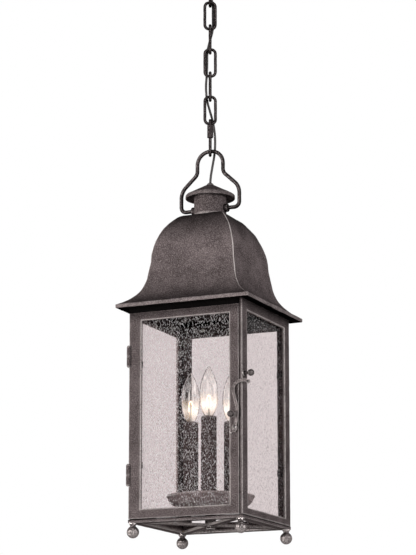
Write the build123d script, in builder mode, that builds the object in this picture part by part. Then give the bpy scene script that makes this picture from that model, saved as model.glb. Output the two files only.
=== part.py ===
import os
from math import cos, radians, sin, sqrt, tan

from build123d import *

os.makedirs("parts", exist_ok=True)

# All sizes are millimetres. Z is 0 at the ceiling and runs down the lantern, the door faces -Y.
gap = 0.3
run_fit = 0.05
thread_fit = 0.1

# Ceiling fitting
canopy_r = 63.5
canopy_depth = 22.0
canopy_wall = 1.2
crossbar_thick = 2.5
crossbar_half = 54.0
crossbar_width = 20.0
slot_spacing = 88.9
slot_r = 2.4
slot_length = 12.0
nipple_r = 5.0
nipple_bore = 3.2
nut_high = 4.5
nut_r = 8.6
collar_r = 11.0
collar_high = 6.0
hub_r = 12.5
hub_high = 7.0

# Chain
view_turn = 24.6
wire_r = 2.5
pitch = 41.9
link_count = 5
link_half = 8.9
end_flat = 3.0
loop_half = 9.0
loop_bottom = -58.7
first_top = loop_bottom + 2 * wire_r + gap
quick_half = 9.5
quick_run = 59.9
quick_top = first_top - link_count * pitch
quick_low = quick_top - quick_run
quick_gap_high = quick_top - 14.1
quick_gap_low = quick_gap_high - 7.0
sleeve_flat = 9.6
sleeve_top = quick_top - 10.6
sleeve_high = 21.8

# Cord
cord_r = 2.0

# Bail and head
bail_r = 3.25
bail_waist = 23.4
bail_wide = 53.0
bail_drop = 100.75
bail_top = quick_low + wire_r + gap + bail_r
pivot_z = bail_top - bail_drop
waist_z = bail_top - 37.9
shoulder_z = pivot_z + 35.3
lug_r = 7.0
lug_out = 33.0
neck_r = 27.0
sheet = 1.6
cap_r = 41.4
cap_apex = pivot_z + 45.4
cap_edge = cap_apex - 21.5
cap_lip = 5.8
bridge_z = pivot_z + 13.5
bridge_thick = 3.0
bridge_width = 16.0
bushing_r = 4.6
bushing_high = 4.5

# Roof
body = 100.0
roof_top = pivot_z - 14.5
roof_top_half = 34.4
roof_skin = 2.2
roof_drop = 168.0
wire_hole_r = 14.0
frame_top = roof_top - roof_drop
eave_half = body + 17.5
eave_high = frame_top + 8.0
eave_low = frame_top + 2.0
rail_top = frame_top + 4.0

# Cage
bar = 5.5
cage_high = 348.3
inner = body - bar
base_low = frame_top - cage_high
base_top = base_low + bar
base_width = 18.0
side_open_half = body - 21.3
side_open_top = frame_top - 13.5
side_open_low = base_top + 11.8
skirt_low = frame_top - 7.5
skirt_thick = 2.0
screw_r = 1.5
screw_in = 4.0
screw_spread = 55.0
glass = 3.0
lap = 5.0
clip_sheet = 1.0
clip_high = 10.0
clip_heights = [frame_top - 90.0, base_top + 87.8]
brace_wide = 15.0
brace_thick = 4.0

# Door
door_left = -body + gap
door_right = inner - 0.5
door_top = frame_top - bar
door_low = base_top + 0.8
door_open_left = -body + 22.0
door_open_right = body - 22.5
door_open_top = door_top - 13.5
door_open_low = door_low + 15.3
hinge_x = -body - gap
hinge_y = -body - gap
knuckle_r = 3.25
knuckle_high = 16.4
pin_r = 1.55
pin_head_r = 2.5
hinge_tops = [frame_top - 60.6, base_top + 88.2]
tab_back = -body + 21.0
tab_thick = 1.5

# Latch
latch_x = body - 12.0
latch_z = base_top + 136.3
latch_screw_r = 2.0
hook_thick = 2.0
hook_wide = 4.6
hook_back = -body - 1.5
knob_x = latch_x - 4.2
knob_z = latch_z + 21.5
knob_r = 5.2
knob_pin_r = 1.5
catch_y = -body + 5.0
catch_z = latch_z + 88.0
catch_r = 5.4
catch_out = 13.0

# Feet and candles
foot_at = body - 6.0
foot_r = 9.9
foot_z = base_low - 14.3
foot_neck_r = 4.6
foot_flange_r = 6.4
stud_r = 3.0
stud_top = base_top - 1.3
dish_r = 71.5
dish_floor_r = dish_r - 18.5
dish_low = base_top + 26.8
dish_rim = dish_low + 16.0
candle_count = 3
candle_ring = 39.0
candle_turn = -69.5
sleeve_r = 12.65
sleeve_wall = 1.4
candle_top = dish_low + 142.0
bulb_r = 15.25
bulb_tip = candle_top + 84.0
bulb_wall = 0.8
screw_base_r = 5.9
stem_r = 5.0

side = Vector(cos(radians(view_turn)), sin(radians(view_turn)), 0)
away = Vector(-sin(radians(view_turn)), cos(radians(view_turn)), 0)
wide_plane = Plane((0, 0, 0), x_dir=side, z_dir=(side.Y, -side.X, 0))
edge_plane = Plane((0, 0, 0), x_dir=away, z_dir=(side.X, side.Y, 0))

# Crossbar screwed to the ceiling box, with a tapped centre hole and two slots
with BuildPart() as ceiling_crossbar:
    with BuildSketch(Plane.XY.offset(-crossbar_thick)):
        SlotOverall(2 * crossbar_half, crossbar_width)
        Circle(nipple_r + thread_fit, mode=Mode.SUBTRACT)
        with Locations((-slot_spacing / 2, 0), (slot_spacing / 2, 0)):
            SlotOverall(slot_length, 2 * slot_r, mode=Mode.SUBTRACT)
    extrude(amount=crossbar_thick)
ceiling_crossbar.part.label = "ceiling_crossbar"
export_step(ceiling_crossbar.part, "parts/ceiling_crossbar.step")

hub_top = -canopy_depth - collar_high
nipple_end = hub_top - hub_high + 0.5
with BuildPart() as canopy_nipple:
    with BuildSketch(Plane.XY.offset(nipple_end)):
        Circle(nipple_r)
        Circle(nipple_bore, mode=Mode.SUBTRACT)
    extrude(amount=-0.2 - nipple_end)
canopy_nipple.part.label = "canopy_nipple"
export_step(canopy_nipple.part, "parts/canopy_nipple.step")

with BuildPart() as nipple_locknut:
    with BuildSketch(Plane.XY.offset(-crossbar_thick - nut_high)):
        RegularPolygon(nut_r, 6)
        Circle(nipple_r + thread_fit, mode=Mode.SUBTRACT)
    extrude(amount=nut_high)
nipple_locknut.part.label = "nipple_locknut"
export_step(nipple_locknut.part, "parts/nipple_locknut.step")

# Spun canopy: a rim against the ceiling, a rounded shoulder and a flat crown round the nipple
with BuildPart() as ceiling_canopy:
    with BuildSketch(Plane.XZ):
        with BuildLine():
            Polyline(
                (nipple_r + thread_fit, -canopy_depth),
                (22, -canopy_depth),
                (34, -canopy_depth + 3.4),
            )
            ThreePointArc((34, -canopy_depth + 3.4), (53, -canopy_depth + 8.6), (canopy_r, 0))
            Line((canopy_r, 0), (canopy_r - canopy_wall, 0))
            ThreePointArc(
                (canopy_r - canopy_wall, 0),
                (52, -canopy_depth + 9.8),
                (34, -canopy_depth + 3.4 + canopy_wall),
            )
            Polyline(
                (34, -canopy_depth + 3.4 + canopy_wall),
                (22, -canopy_depth + canopy_wall),
                (nipple_r + thread_fit, -canopy_depth + canopy_wall),
                (nipple_r + thread_fit, -canopy_depth),
            )
        make_face()
    revolve(axis=Axis.Z)
ceiling_canopy.part.label = "ceiling_canopy"
export_step(ceiling_canopy.part, "parts/ceiling_canopy.step")

with BuildPart() as canopy_collar:
    with BuildSketch(Plane.XY.offset(hub_top)):
        Circle(collar_r)
        Circle(nipple_r + thread_fit, mode=Mode.SUBTRACT)
    extrude(amount=collar_high)
    fillet(canopy_collar.edges().filter_by(GeomType.CIRCLE).sort_by(SortBy.RADIUS)[-2:], 1.2)
canopy_collar.part.label = "canopy_collar"
export_step(canopy_collar.part, "parts/canopy_collar.step")

# Loop: a hub on the nipple with a wire bow below it, open in the middle for the cord
with BuildPart() as canopy_loop:
    with BuildLine(edge_plane) as bow:
        FilletPolyline(
            (-loop_half, hub_top - hub_high / 2),
            (-loop_half, loop_bottom),
            (loop_half, loop_bottom),
            (loop_half, hub_top - hub_high / 2),
            radius=loop_half - end_flat / 2,
        )
    with BuildSketch(Plane(bow.line @ 0, z_dir=bow.line % 0)):
        Circle(wire_r)
    sweep(path=bow.line)
    with BuildSketch(Plane.XY.offset(hub_top - hub_high)):
        Circle(hub_r)
    extrude(amount=hub_high)
    with BuildSketch(Plane.XY.offset(hub_top - hub_high)):
        Circle(nipple_r + thread_fit)
    extrude(amount=hub_high, mode=Mode.SUBTRACT)
canopy_loop.part.label = "canopy_loop"
export_step(canopy_loop.part, "parts/canopy_loop.step")

# Chain of five welded links, turned a quarter from each to the next
link_run = pitch + 2 * wire_r + gap
link_mids = []
for number in range(1, link_count + 1):
    link_top = first_top - (number - 1) * pitch
    link_low = link_top - link_run
    link_mids.append((link_top + link_low) / 2)
    with BuildPart() as chain_link:
        with BuildLine(wide_plane if number % 2 else edge_plane) as ring:
            FilletPolyline(
                (-link_half, link_mids[-1]),
                (-link_half, link_low),
                (link_half, link_low),
                (link_half, link_top),
                (-link_half, link_top),
                (-link_half, link_mids[-1] + 0.001),
                radius=link_half - end_flat / 2,
            )
            Line(ring.line @ 1, ring.line @ 0)
        with BuildSketch(Plane(ring.line @ 0, z_dir=(0, 0, -1))):
            Circle(wire_r)
        sweep(path=ring.wire())
    chain_link.part.label = f"chain_link_{number}"
    export_step(chain_link.part, f"parts/chain_link_{number}.step")

# Quick link: an open bow whose gap a threaded sleeve closes
with BuildPart() as quick_link:
    with BuildLine(edge_plane) as ring:
        FilletPolyline(
            (-quick_half, quick_gap_low),
            (-quick_half, quick_low),
            (quick_half, quick_low),
            (quick_half, quick_top),
            (-quick_half, quick_top),
            (-quick_half, quick_gap_high),
            radius=quick_half - end_flat / 2,
        )
    with BuildSketch(Plane(ring.line @ 0, z_dir=ring.line % 0)):
        Circle(wire_r)
    sweep(path=ring.line)
quick_link.part.label = "quick_link"
export_step(quick_link.part, "parts/quick_link.step")

near_leg = away * -quick_half
with BuildPart() as quick_link_sleeve:
    with BuildSketch(Plane((near_leg.X, near_leg.Y, sleeve_top - sleeve_high))):
        RegularPolygon(sleeve_flat / 2, 6, major_radius=False)
        Circle(wire_r + run_fit, mode=Mode.SUBTRACT)
    extrude(amount=sleeve_high)
    rims = quick_link_sleeve.edges().filter_by(GeomType.LINE).filter_by(Plane.XY)
    chamfer(rims, 0.6)
quick_link_sleeve.part.label = "quick_link_sleeve"
export_step(quick_link_sleeve.part, "parts/quick_link_sleeve.step")

# Bail: one bent rod, its ends turned inward into the lugs
with BuildPart() as bail:
    with BuildLine(Plane.XZ) as rod:
        FilletPolyline(
            (lug_out - 4, pivot_z),
            (bail_wide, pivot_z),
            (bail_wide, shoulder_z),
            (bail_waist, waist_z),
            (bail_waist, bail_top),
            (-bail_waist, bail_top),
            (-bail_waist, waist_z),
            (-bail_wide, shoulder_z),
            (-bail_wide, pivot_z),
            (-lug_out + 4, pivot_z),
            radius=[9, 26, 14, 21.9, 21.9, 14, 26, 9],
        )
    with BuildSketch(Plane(rod.line @ 0, z_dir=rod.line % 0)):
        Circle(bail_r)
    sweep(path=rod.line)
bail.part.label = "bail"
export_step(bail.part, "parts/bail.step")

# Cap: a shallow cone with a turned-down lip, held by the bushing on the nipple
cone_drop = (cap_apex - cap_edge) / cap_r
flat_r = 7.0
cap_flat = cap_apex - cone_drop * flat_r
with BuildPart() as cap:
    with BuildSketch(Plane.XZ):
        with BuildLine():
            Polyline(
                (nipple_r + thread_fit, cap_flat),
                (flat_r, cap_flat),
                (cap_r, cap_edge),
                (cap_r, cap_edge - cap_lip),
                (cap_r - sheet, cap_edge - cap_lip),
                (cap_r - sheet, cap_edge - sheet),
                (flat_r, cap_flat - sheet * 1.15),
                (nipple_r + thread_fit, cap_flat - sheet * 1.15),
                (nipple_r + thread_fit, cap_flat),
            )
        make_face()
    revolve(axis=Axis.Z)
cap.part.label = "cap"
export_step(cap.part, "parts/cap.step")

under_slope = (cap_flat - sheet * 1.15 - cap_edge + sheet) / (cap_r - sheet - flat_r)
neck_top = cap_flat - sheet * 1.15 - under_slope * (neck_r - flat_r)
with BuildPart() as neck:
    with BuildSketch(Plane.XY.offset(roof_top)):
        Circle(neck_r)
        Circle(neck_r - sheet, mode=Mode.SUBTRACT)
    extrude(amount=neck_top - roof_top)
neck.part.label = "neck"
export_step(neck.part, "parts/neck.step")

# Lugs: round bosses on the neck with blind bores for the bail's ends
with BuildPart() as bail_lugs:
    for way in (-1, 1):
        with BuildSketch(Plane((way * (neck_r - 3), 0, pivot_z), x_dir=(0, 1, 0), z_dir=(way, 0, 0))):
            Circle(lug_r)
        extrude(amount=lug_out - neck_r + 3)
        with BuildSketch(Plane((way * (lug_out - 4.4), 0, pivot_z), x_dir=(0, 1, 0), z_dir=(way, 0, 0))):
            Circle(bail_r + run_fit)
        extrude(amount=4.4, mode=Mode.SUBTRACT)
    with BuildSketch(Plane.XY.offset(pivot_z - lug_r)):
        Circle(neck_r)
    extrude(amount=2 * lug_r, mode=Mode.SUBTRACT)
bail_lugs.part.label = "bail_lugs"
export_step(bail_lugs.part, "parts/bail_lugs.step")

# Bridge across the neck, its nipple and nut, and the bushing that the cord enters by
with BuildPart() as cap_bridge:
    with BuildSketch(Plane.XY.offset(bridge_z)):
        Circle(neck_r - sheet - run_fit)
        Rectangle(2 * neck_r, bridge_width, mode=Mode.INTERSECT)
        Circle(nipple_r + thread_fit, mode=Mode.SUBTRACT)
    extrude(amount=bridge_thick)
cap_bridge.part.label = "cap_bridge"
export_step(cap_bridge.part, "parts/cap_bridge.step")

bushing_low = cap_flat
with BuildPart() as cap_nipple:
    with BuildSketch(Plane.XY.offset(bridge_z - nut_high - 2)):
        Circle(nipple_r)
        Circle(nipple_bore, mode=Mode.SUBTRACT)
    extrude(amount=bushing_low - bridge_z + nut_high + 2)
cap_nipple.part.label = "cap_nipple"
export_step(cap_nipple.part, "parts/cap_nipple.step")

with BuildPart() as cap_nut:
    with BuildSketch(Plane.XY.offset(bridge_z - nut_high)):
        RegularPolygon(nut_r, 6)
        Circle(nipple_r + thread_fit, mode=Mode.SUBTRACT)
    extrude(amount=nut_high)
cap_nut.part.label = "cap_nut"
export_step(cap_nut.part, "parts/cap_nut.step")

with BuildPart() as cord_bushing:
    with BuildSketch(Plane.XZ):
        with BuildLine():
            Line((cord_r + gap, bushing_low), (flat_r - 0.4, bushing_low))
            ThreePointArc(
                (flat_r - 0.4, bushing_low),
                (bushing_r, bushing_low + bushing_high * 0.62),
                (cord_r + gap, bushing_low + bushing_high),
            )
            Line((cord_r + gap, bushing_low + bushing_high), (cord_r + gap, bushing_low))
        make_face()
    revolve(axis=Axis.Z)
cord_bushing.part.label = "cord_bushing"
export_step(cord_bushing.part, "parts/cord_bushing.step")

# Cord woven down through the chain: offsets across the links, away from the door, and links passed
cord_weave = [
    (4.9, 5.4, -0.01),
    (4.7, 5.3, 0.54),
    (5.1, 5.2, 1.136),
    (-0.2, 2.2, 1.59),
    (-5.2, 5.2, 2.067),
    (-4.8, 5.3, 2.568),
    (-5.8, 5.2, 3.093),
    (-7.4, 3.8, 3.57),
    (-5.6, 5.4, 4.119),
    (0.4, 5.6, 4.62),
    (5.8, 5.4, 5.098),
]
cord_cross = bail_top - 28.25
cord_way = [(0, 0, hub_top - 2), (0, 0, hub_top - hub_high - 3)]
cord_way += [(a, b, first_top - passed * pitch) for a, b, passed in cord_weave]
cord_way += [
    (8.6, 4.2, quick_top - 29.1),
    (8.0, 3.5, quick_low + 4.8),
    (3.3, 1.3, cord_cross),
    (0, 0, cap_apex + 6.1),
    (0, 0, cap_apex - 7.9),
]
cord_points = [side * a + away * b + Vector(0, 0, z) for a, b, z in cord_way]
cord_radii = []
for before, here, after in zip(cord_points, cord_points[1:], cord_points[2:]):
    turn = radians((here - before).get_angle(after - here))
    shorter = min((here - before).length, (after - here).length)
    cord_radii.append(0.45 * shorter / tan(turn / 2))
with BuildPart() as cord:
    with BuildLine() as cord_line:
        FilletPolyline(*cord_points, radius=cord_radii)
    with BuildSketch(Plane(cord_line.line @ 0, z_dir=(0, 0, -1))):
        Circle(cord_r)
    sweep(path=cord_line.line)
print("cord length", round(cord_line.wire().length, 1), "tightest bend", round(min(cord_radii), 1))
cord_cuts = [0] + link_mids + [(quick_top + quick_low) / 2, cord_cross, cap_apex - 30]
for number in range(1, 9):
    high = cord_cuts[number - 1]
    low = cord_cuts[number]
    with BuildPart() as cord_stretch:
        add(cord.part)
        with Locations((0, 0, (high + low) / 2)):
            Box(80, 80, high - low, mode=Mode.INTERSECT)
    cord_stretch.part.label = f"cord_stretch_{number}"
    export_step(cord_stretch.part, f"parts/cord_stretch_{number}.step")


def roof_outline(inset, drop):
    """Half of the roof's section from the flat top down to the eave, set in by inset."""
    start = (roof_top_half - inset * 0.6, roof_top - drop)
    knee = (0.49 * body - inset, roof_top - 11.2 - drop * 0.8)
    swell = (0.615 * body - inset, roof_top - 0.1875 * roof_drop)
    waist = (0.743 * body - inset, roof_top - 0.5 * roof_drop)
    foot = (0.793 * body - inset, roof_top - 0.6726 * roof_drop)
    rim = (eave_half - inset, eave_high)
    Line((0, roof_top - drop), start)
    Line(start, knee)
    ThreePointArc(knee, swell, waist)
    slope = Line(waist, foot)
    TangentArc(foot, rim, tangent=slope % 1)
    return rim


def square_bell(inset, drop, below):
    """The section along both walls, crossed, so that the hips meet at the corners."""
    with BuildPart() as crossed:
        for plane in (Plane.XZ, Plane.YZ):
            with BuildPart(mode=Mode.PRIVATE) as prism:
                with BuildSketch(plane):
                    with BuildLine():
                        rim = roof_outline(inset, drop)
                        Polyline(rim, *below, (0, below[-1][1]), (0, roof_top - drop))
                    make_face()
                    mirror(about=Plane.YZ)
                extrude(amount=eave_half + 5, both=True)
            add(prism.part, mode=Mode.ADD if plane == Plane.XZ else Mode.INTERSECT)
    return crossed.part


lip_in = eave_half - roof_skin
skirt_out = inner - gap / 3
with BuildPart() as roof_shell:
    add(square_bell(0, 0, [(eave_half, eave_low)]))
    hollow = square_bell(roof_skin, roof_skin, [(lip_in, rail_top + roof_skin)])
    add(hollow, mode=Mode.SUBTRACT)
    with Locations((0, 0, rail_top)):
        Box(2 * skirt_out, 2 * skirt_out, 4 * roof_skin, mode=Mode.SUBTRACT)
    with Locations((0, 0, (rail_top + eave_low) / 2 - 1)):
        Box(2 * lip_in, 2 * lip_in, rail_top - eave_low + 2, mode=Mode.SUBTRACT)
    with BuildSketch(Plane.XY.offset(skirt_low)):
        Rectangle(2 * skirt_out, 2 * skirt_out)
        Rectangle(2 * (skirt_out - skirt_thick), 2 * (skirt_out - skirt_thick), mode=Mode.SUBTRACT)
    extrude(amount=rail_top + roof_skin - skirt_low)
    with BuildSketch(Plane.XY.offset(roof_top - 2 * roof_skin)):
        Circle(wire_hole_r)
    extrude(amount=3 * roof_skin, mode=Mode.SUBTRACT)
    screw_z = (rail_top + skirt_low) / 2
    for turn in range(4):
        across = Vector(0, 1, 0).rotate(Axis.Z, 90 * turn)
        along = Vector(1, 0, 0).rotate(Axis.Z, 90 * turn)
        for way in (-1, 1):
            at = across * (skirt_out - 2 * skirt_thick) + along * (screw_spread * way)
            with BuildSketch(Plane((at.X, at.Y, screw_z), z_dir=across)):
                Circle(screw_r + run_fit)
            extrude(amount=3 * skirt_thick, mode=Mode.SUBTRACT)
roof_shell.part.label = "roof_shell"
export_step(roof_shell.part, "parts/roof_shell.step")

# Screws from inside through the roof's skirt into the frames
with BuildPart() as roof_screws:
    for turn in range(4):
        across = Vector(0, 1, 0).rotate(Axis.Z, 90 * turn)
        along = Vector(1, 0, 0).rotate(Axis.Z, 90 * turn)
        for way in (-1, 1):
            at = across * (skirt_out - skirt_thick) + along * (screw_spread * way)
            with BuildSketch(Plane((at.X, at.Y, screw_z), z_dir=across)):
                Circle(screw_r)
            extrude(amount=skirt_thick + screw_in)
            with BuildSketch(Plane((at.X, at.Y, screw_z), z_dir=across * -1)):
                Circle(2 * screw_r)
            extrude(amount=1.4)
roof_screws.part.label = "roof_screws"
export_step(roof_screws.part, "parts/roof_screws.step")


def screw_places(across):
    """Where the roof's screws enter a frame's top rail."""
    along = Vector(0, 0, 1).cross(across)
    centre = across * (inner - 1) + Vector(0, 0, screw_z)
    return [Plane(centre + along * (screw_spread * way), z_dir=across) for way in (-1, 1)]


open_mid = (side_open_top + side_open_low) / 2
open_high = side_open_top - side_open_low
frame_mid = (rail_top + base_top) / 2
frame_high = rail_top - base_top

# Side, back and front framing of flat bar
left_front = -inner + gap
with BuildPart() as left_frame:
    with Locations((-body + bar / 2, (left_front + body) / 2, frame_mid)):
        Box(bar, body - left_front, frame_high)
    with Locations((-body + bar / 2, 0, open_mid)):
        Box(2 * bar, 2 * side_open_half, open_high, mode=Mode.SUBTRACT)
    with BuildSketch(*screw_places(Vector(-1, 0, 0))):
        Circle(screw_r + run_fit)
    extrude(amount=screw_in + 1.3, mode=Mode.SUBTRACT)
left_frame.part.label = "left_frame"
export_step(left_frame.part, "parts/left_frame.step")

with BuildPart() as right_frame:
    with Locations((body - bar / 2, 0, frame_mid)):
        Box(bar, 2 * body, frame_high)
    with Locations((body - bar / 2, 0, open_mid)):
        Box(2 * bar, 2 * side_open_half, open_high, mode=Mode.SUBTRACT)
    with BuildSketch(*screw_places(Vector(1, 0, 0))):
        Circle(screw_r + run_fit)
    extrude(amount=screw_in + 1.3, mode=Mode.SUBTRACT)
right_frame.part.label = "right_frame"
export_step(right_frame.part, "parts/right_frame.step")

with BuildPart() as back_frame:
    with Locations((0, body - bar / 2, frame_mid)):
        Box(2 * inner, bar, frame_high)
    with Locations((0, body - bar / 2, open_mid)):
        Box(2 * side_open_half, 2 * bar, open_high, mode=Mode.SUBTRACT)
    with BuildSketch(*screw_places(Vector(0, 1, 0))):
        Circle(screw_r + run_fit)
    extrude(amount=screw_in + 1.3, mode=Mode.SUBTRACT)
back_frame.part.label = "back_frame"
export_step(back_frame.part, "parts/back_frame.step")

header_low = door_top + gap + 0.2
header_back = -inner
with BuildPart() as front_header:
    header_x = (inner - body) / 2
    with Locations((header_x, (header_back - body) / 2, (rail_top + header_low) / 2)):
        Box(inner + body, body + header_back, rail_top - header_low)
    with BuildSketch(*screw_places(Vector(0, -1, 0))):
        Circle(screw_r + run_fit)
    extrude(amount=screw_in + 1.3, mode=Mode.SUBTRACT)
front_header.part.label = "front_header"
export_step(front_header.part, "parts/front_header.step")

# Base ring with stud holes for the feet
with BuildPart() as base_frame:
    with BuildSketch(Plane.XY.offset(base_low)):
        Rectangle(2 * body, 2 * body)
        Rectangle(2 * (body - base_width), 2 * (body - base_width), mode=Mode.SUBTRACT)
    extrude(amount=bar)
    with BuildSketch(Plane.XY.offset(base_low)):
        with GridLocations(2 * foot_at, 2 * foot_at, 2, 2):
            Circle(stud_r + run_fit)
    extrude(amount=bar - 1, mode=Mode.SUBTRACT)
base_frame.part.label = "base_frame"
export_step(base_frame.part, "parts/base_frame.step")

with BuildPart() as one_foot:
    with BuildSketch(Plane.XZ):
        with BuildLine():
            meet = foot_z + sqrt(foot_r**2 - foot_neck_r**2)
            Polyline(
                (0, foot_z - foot_r),
                (0, stud_top),
                (stud_r, stud_top),
                (stud_r, base_low),
                (foot_flange_r, base_low),
                (foot_flange_r, base_low - 2),
                (foot_neck_r, base_low - 3.2),
                (foot_neck_r, meet),
            )
            ThreePointArc((foot_neck_r, meet), (foot_r, foot_z), (0, foot_z - foot_r))
        make_face()
    revolve(axis=Axis.Z)
with BuildPart() as ball_feet:
    with GridLocations(2 * foot_at, 2 * foot_at, 2, 2):
        add(one_foot.part)
ball_feet.part.label = "ball_feet"
export_step(ball_feet.part, "parts/ball_feet.step")

# Two flat bars cross the base ring from inner corner to inner corner, flush below and halved where they meet
brace_reach = body - base_width
for name, turn, notch in (("brace_lower", 45, 0.75), ("brace_upper", 135, 0.25)):
    with BuildPart() as brace:
        with BuildSketch(Plane.XY.offset(base_low)):
            Rectangle(2 * brace_reach * sqrt(2), brace_wide)
            Rectangle(2 * brace_reach, 2 * brace_reach, rotation=45, mode=Mode.INTERSECT)
        extrude(amount=brace_thick)
        with Locations((0, 0, base_low + brace_thick * notch)):
            Box(brace_wide + thread_fit, 2 * brace_wide, brace_thick / 2, mode=Mode.SUBTRACT)
        with BuildSketch(Plane.XY.offset(base_low)):
            Circle(stem_r + thread_fit)
        extrude(amount=brace_thick, mode=Mode.SUBTRACT)
    turned = brace.part.rotate(Axis.Z, turn)
    turned.label = name
    export_step(turned, f"parts/{name}.step")


# Panes lie against the inside of the frames
pane_half = side_open_half + lap
pane_top = skirt_low - 0.8
pane_low = side_open_low - lap
for name, across in (("pane_left", (-1, 0)), ("pane_right", (1, 0)), ("pane_back", (0, 1))):
    with BuildPart() as pane:
        at = inner - glass / 2
        with Locations((across[0] * at, across[1] * at, (pane_top + pane_low) / 2)):
            Box(
                glass if across[0] else 2 * pane_half,
                glass if across[1] else 2 * pane_half,
                pane_top - pane_low,
            )
    pane.part.label = name
    export_step(pane.part, f"parts/{name}.step")

door_pane_left = door_open_left - lap
door_pane_right = door_open_right + lap
with BuildPart() as door_pane:
    middle = (door_pane_left + door_pane_right) / 2
    with Locations((middle, -inner + glass / 2, (door_open_top + door_open_low) / 2)):
        Box(door_pane_right - door_pane_left, glass, door_open_top - door_open_low + 2 * lap)
door_pane.part.label = "door_pane"
export_step(door_pane.part, "parts/door_pane.step")


def clip_bends(edge):
    """A spring clip's bent section: foot on the frame, riser past the pane's edge, finger over the pane."""
    rise = edge + 0.6
    return [
        (edge + 7, 0),
        (rise, 0),
        (rise, glass),
        (edge - 4, glass),
        (edge - 4, glass + clip_sheet),
        (rise + clip_sheet, glass + clip_sheet),
        (rise + clip_sheet, clip_sheet),
        (edge + 7, clip_sheet),
        (edge + 7, 0),
    ]


with BuildPart() as pane_clips:
    for out in (Vector(-1, 0, 0), Vector(1, 0, 0), Vector(0, 1, 0)):
        for way in (-1, 1):
            for height in clip_heights:
                start = out * inner + Vector(0, 0, height)
                along = Vector(0, 0, 1).cross(out) * way
                with BuildSketch(Plane(start, x_dir=along, z_dir=along.cross(out * -1))):
                    with BuildLine():
                        Polyline(*clip_bends(pane_half))
                    make_face()
                extrude(amount=clip_high / 2, both=True)
pane_clips.part.label = "pane_clips"
export_step(pane_clips.part, "parts/pane_clips.step")

with BuildPart() as door_clips:
    for way, edge in ((-1, -door_pane_left), (1, door_pane_right)):
        for height in clip_heights:
            start = Vector(0, -inner, height)
            along = Vector(way, 0, 0)
            with BuildSketch(Plane(start, x_dir=along, z_dir=along.cross(Vector(0, 1, 0)))):
                with BuildLine():
                    Polyline(*clip_bends(edge))
                make_face()
            extrude(amount=clip_high / 2, both=True)
door_clips.part.label = "door_clips"
export_step(door_clips.part, "parts/door_clips.step")

# Door frame, scooped at the corner for the hinge barrels
with BuildPart() as door_frame:
    door_x = (door_left + door_right) / 2
    with Locations((door_x, -body + bar / 2, (door_top + door_low) / 2)):
        Box(door_right - door_left, bar, door_top - door_low)
    open_x = (door_open_left + door_open_right) / 2
    with Locations((open_x, -body + bar / 2, (door_open_top + door_open_low) / 2)):
        Box(door_open_right - door_open_left, 2 * bar, door_open_top - door_open_low, mode=Mode.SUBTRACT)
    for top in hinge_tops:
        with BuildSketch(Plane((hinge_x, hinge_y, top - knuckle_high))):
            Circle(knuckle_r + run_fit)
        extrude(amount=knuckle_high, mode=Mode.SUBTRACT)
        with BuildSketch(Plane((hinge_x, hinge_y, top - 2 * knuckle_high - gap - 2))):
            Circle(knuckle_r + gap)
        extrude(amount=knuckle_high + gap + 2, mode=Mode.SUBTRACT)
        with BuildSketch(Plane((hinge_x, hinge_y, top))):
            Circle(knuckle_r + gap)
        extrude(amount=2, mode=Mode.SUBTRACT)
    with BuildSketch(Plane((latch_x, -body - 1, latch_z), x_dir=(1, 0, 0), z_dir=(0, 1, 0))):
        Circle(latch_screw_r + run_fit)
    extrude(amount=bar, mode=Mode.SUBTRACT)
door_frame.part.label = "door_frame"
export_step(door_frame.part, "parts/door_frame.step")

# Barrel hinges: an upper knuckle on the door, a lower one with a tab on the left frame, and a pin
with BuildPart() as hinge_door_knuckles:
    for top in hinge_tops:
        with BuildSketch(Plane((hinge_x, hinge_y, top - knuckle_high))):
            Circle(knuckle_r)
            Circle(pin_r + run_fit, mode=Mode.SUBTRACT)
        extrude(amount=knuckle_high)
hinge_door_knuckles.part.label = "hinge_door_knuckles"
export_step(hinge_door_knuckles.part, "parts/hinge_door_knuckles.step")

with BuildPart() as hinge_frame_knuckles:
    for top in hinge_tops:
        low = top - 2 * knuckle_high - gap
        with BuildSketch(Plane((0, 0, low))):
            with Locations((hinge_x, hinge_y)):
                Circle(knuckle_r)
            with Locations((-body - tab_thick / 2, (hinge_y + 1 + tab_back) / 2)):
                Rectangle(tab_thick, tab_back - hinge_y - 1)
            with Locations((hinge_x, hinge_y)):
                Circle(pin_r + run_fit, mode=Mode.SUBTRACT)
        extrude(amount=knuckle_high)
hinge_frame_knuckles.part.label = "hinge_frame_knuckles"
export_step(hinge_frame_knuckles.part, "parts/hinge_frame_knuckles.step")

with BuildPart() as hinge_pins:
    for top in hinge_tops:
        low = top - 2 * knuckle_high - gap
        with BuildSketch(Plane((hinge_x, hinge_y, low - 0.2))):
            Circle(pin_r)
        extrude(amount=2 * knuckle_high + gap + 0.4)
        for end, way in ((top + 0.2, 1), (low - 0.2, -1)):
            with BuildSketch(Plane((hinge_x, hinge_y, end), z_dir=(0, 0, way))):
                Circle(pin_head_r)
            extrude(amount=1.6, taper=20)
hinge_pins.part.label = "hinge_pins"
export_step(hinge_pins.part, "parts/hinge_pins.step")

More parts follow.
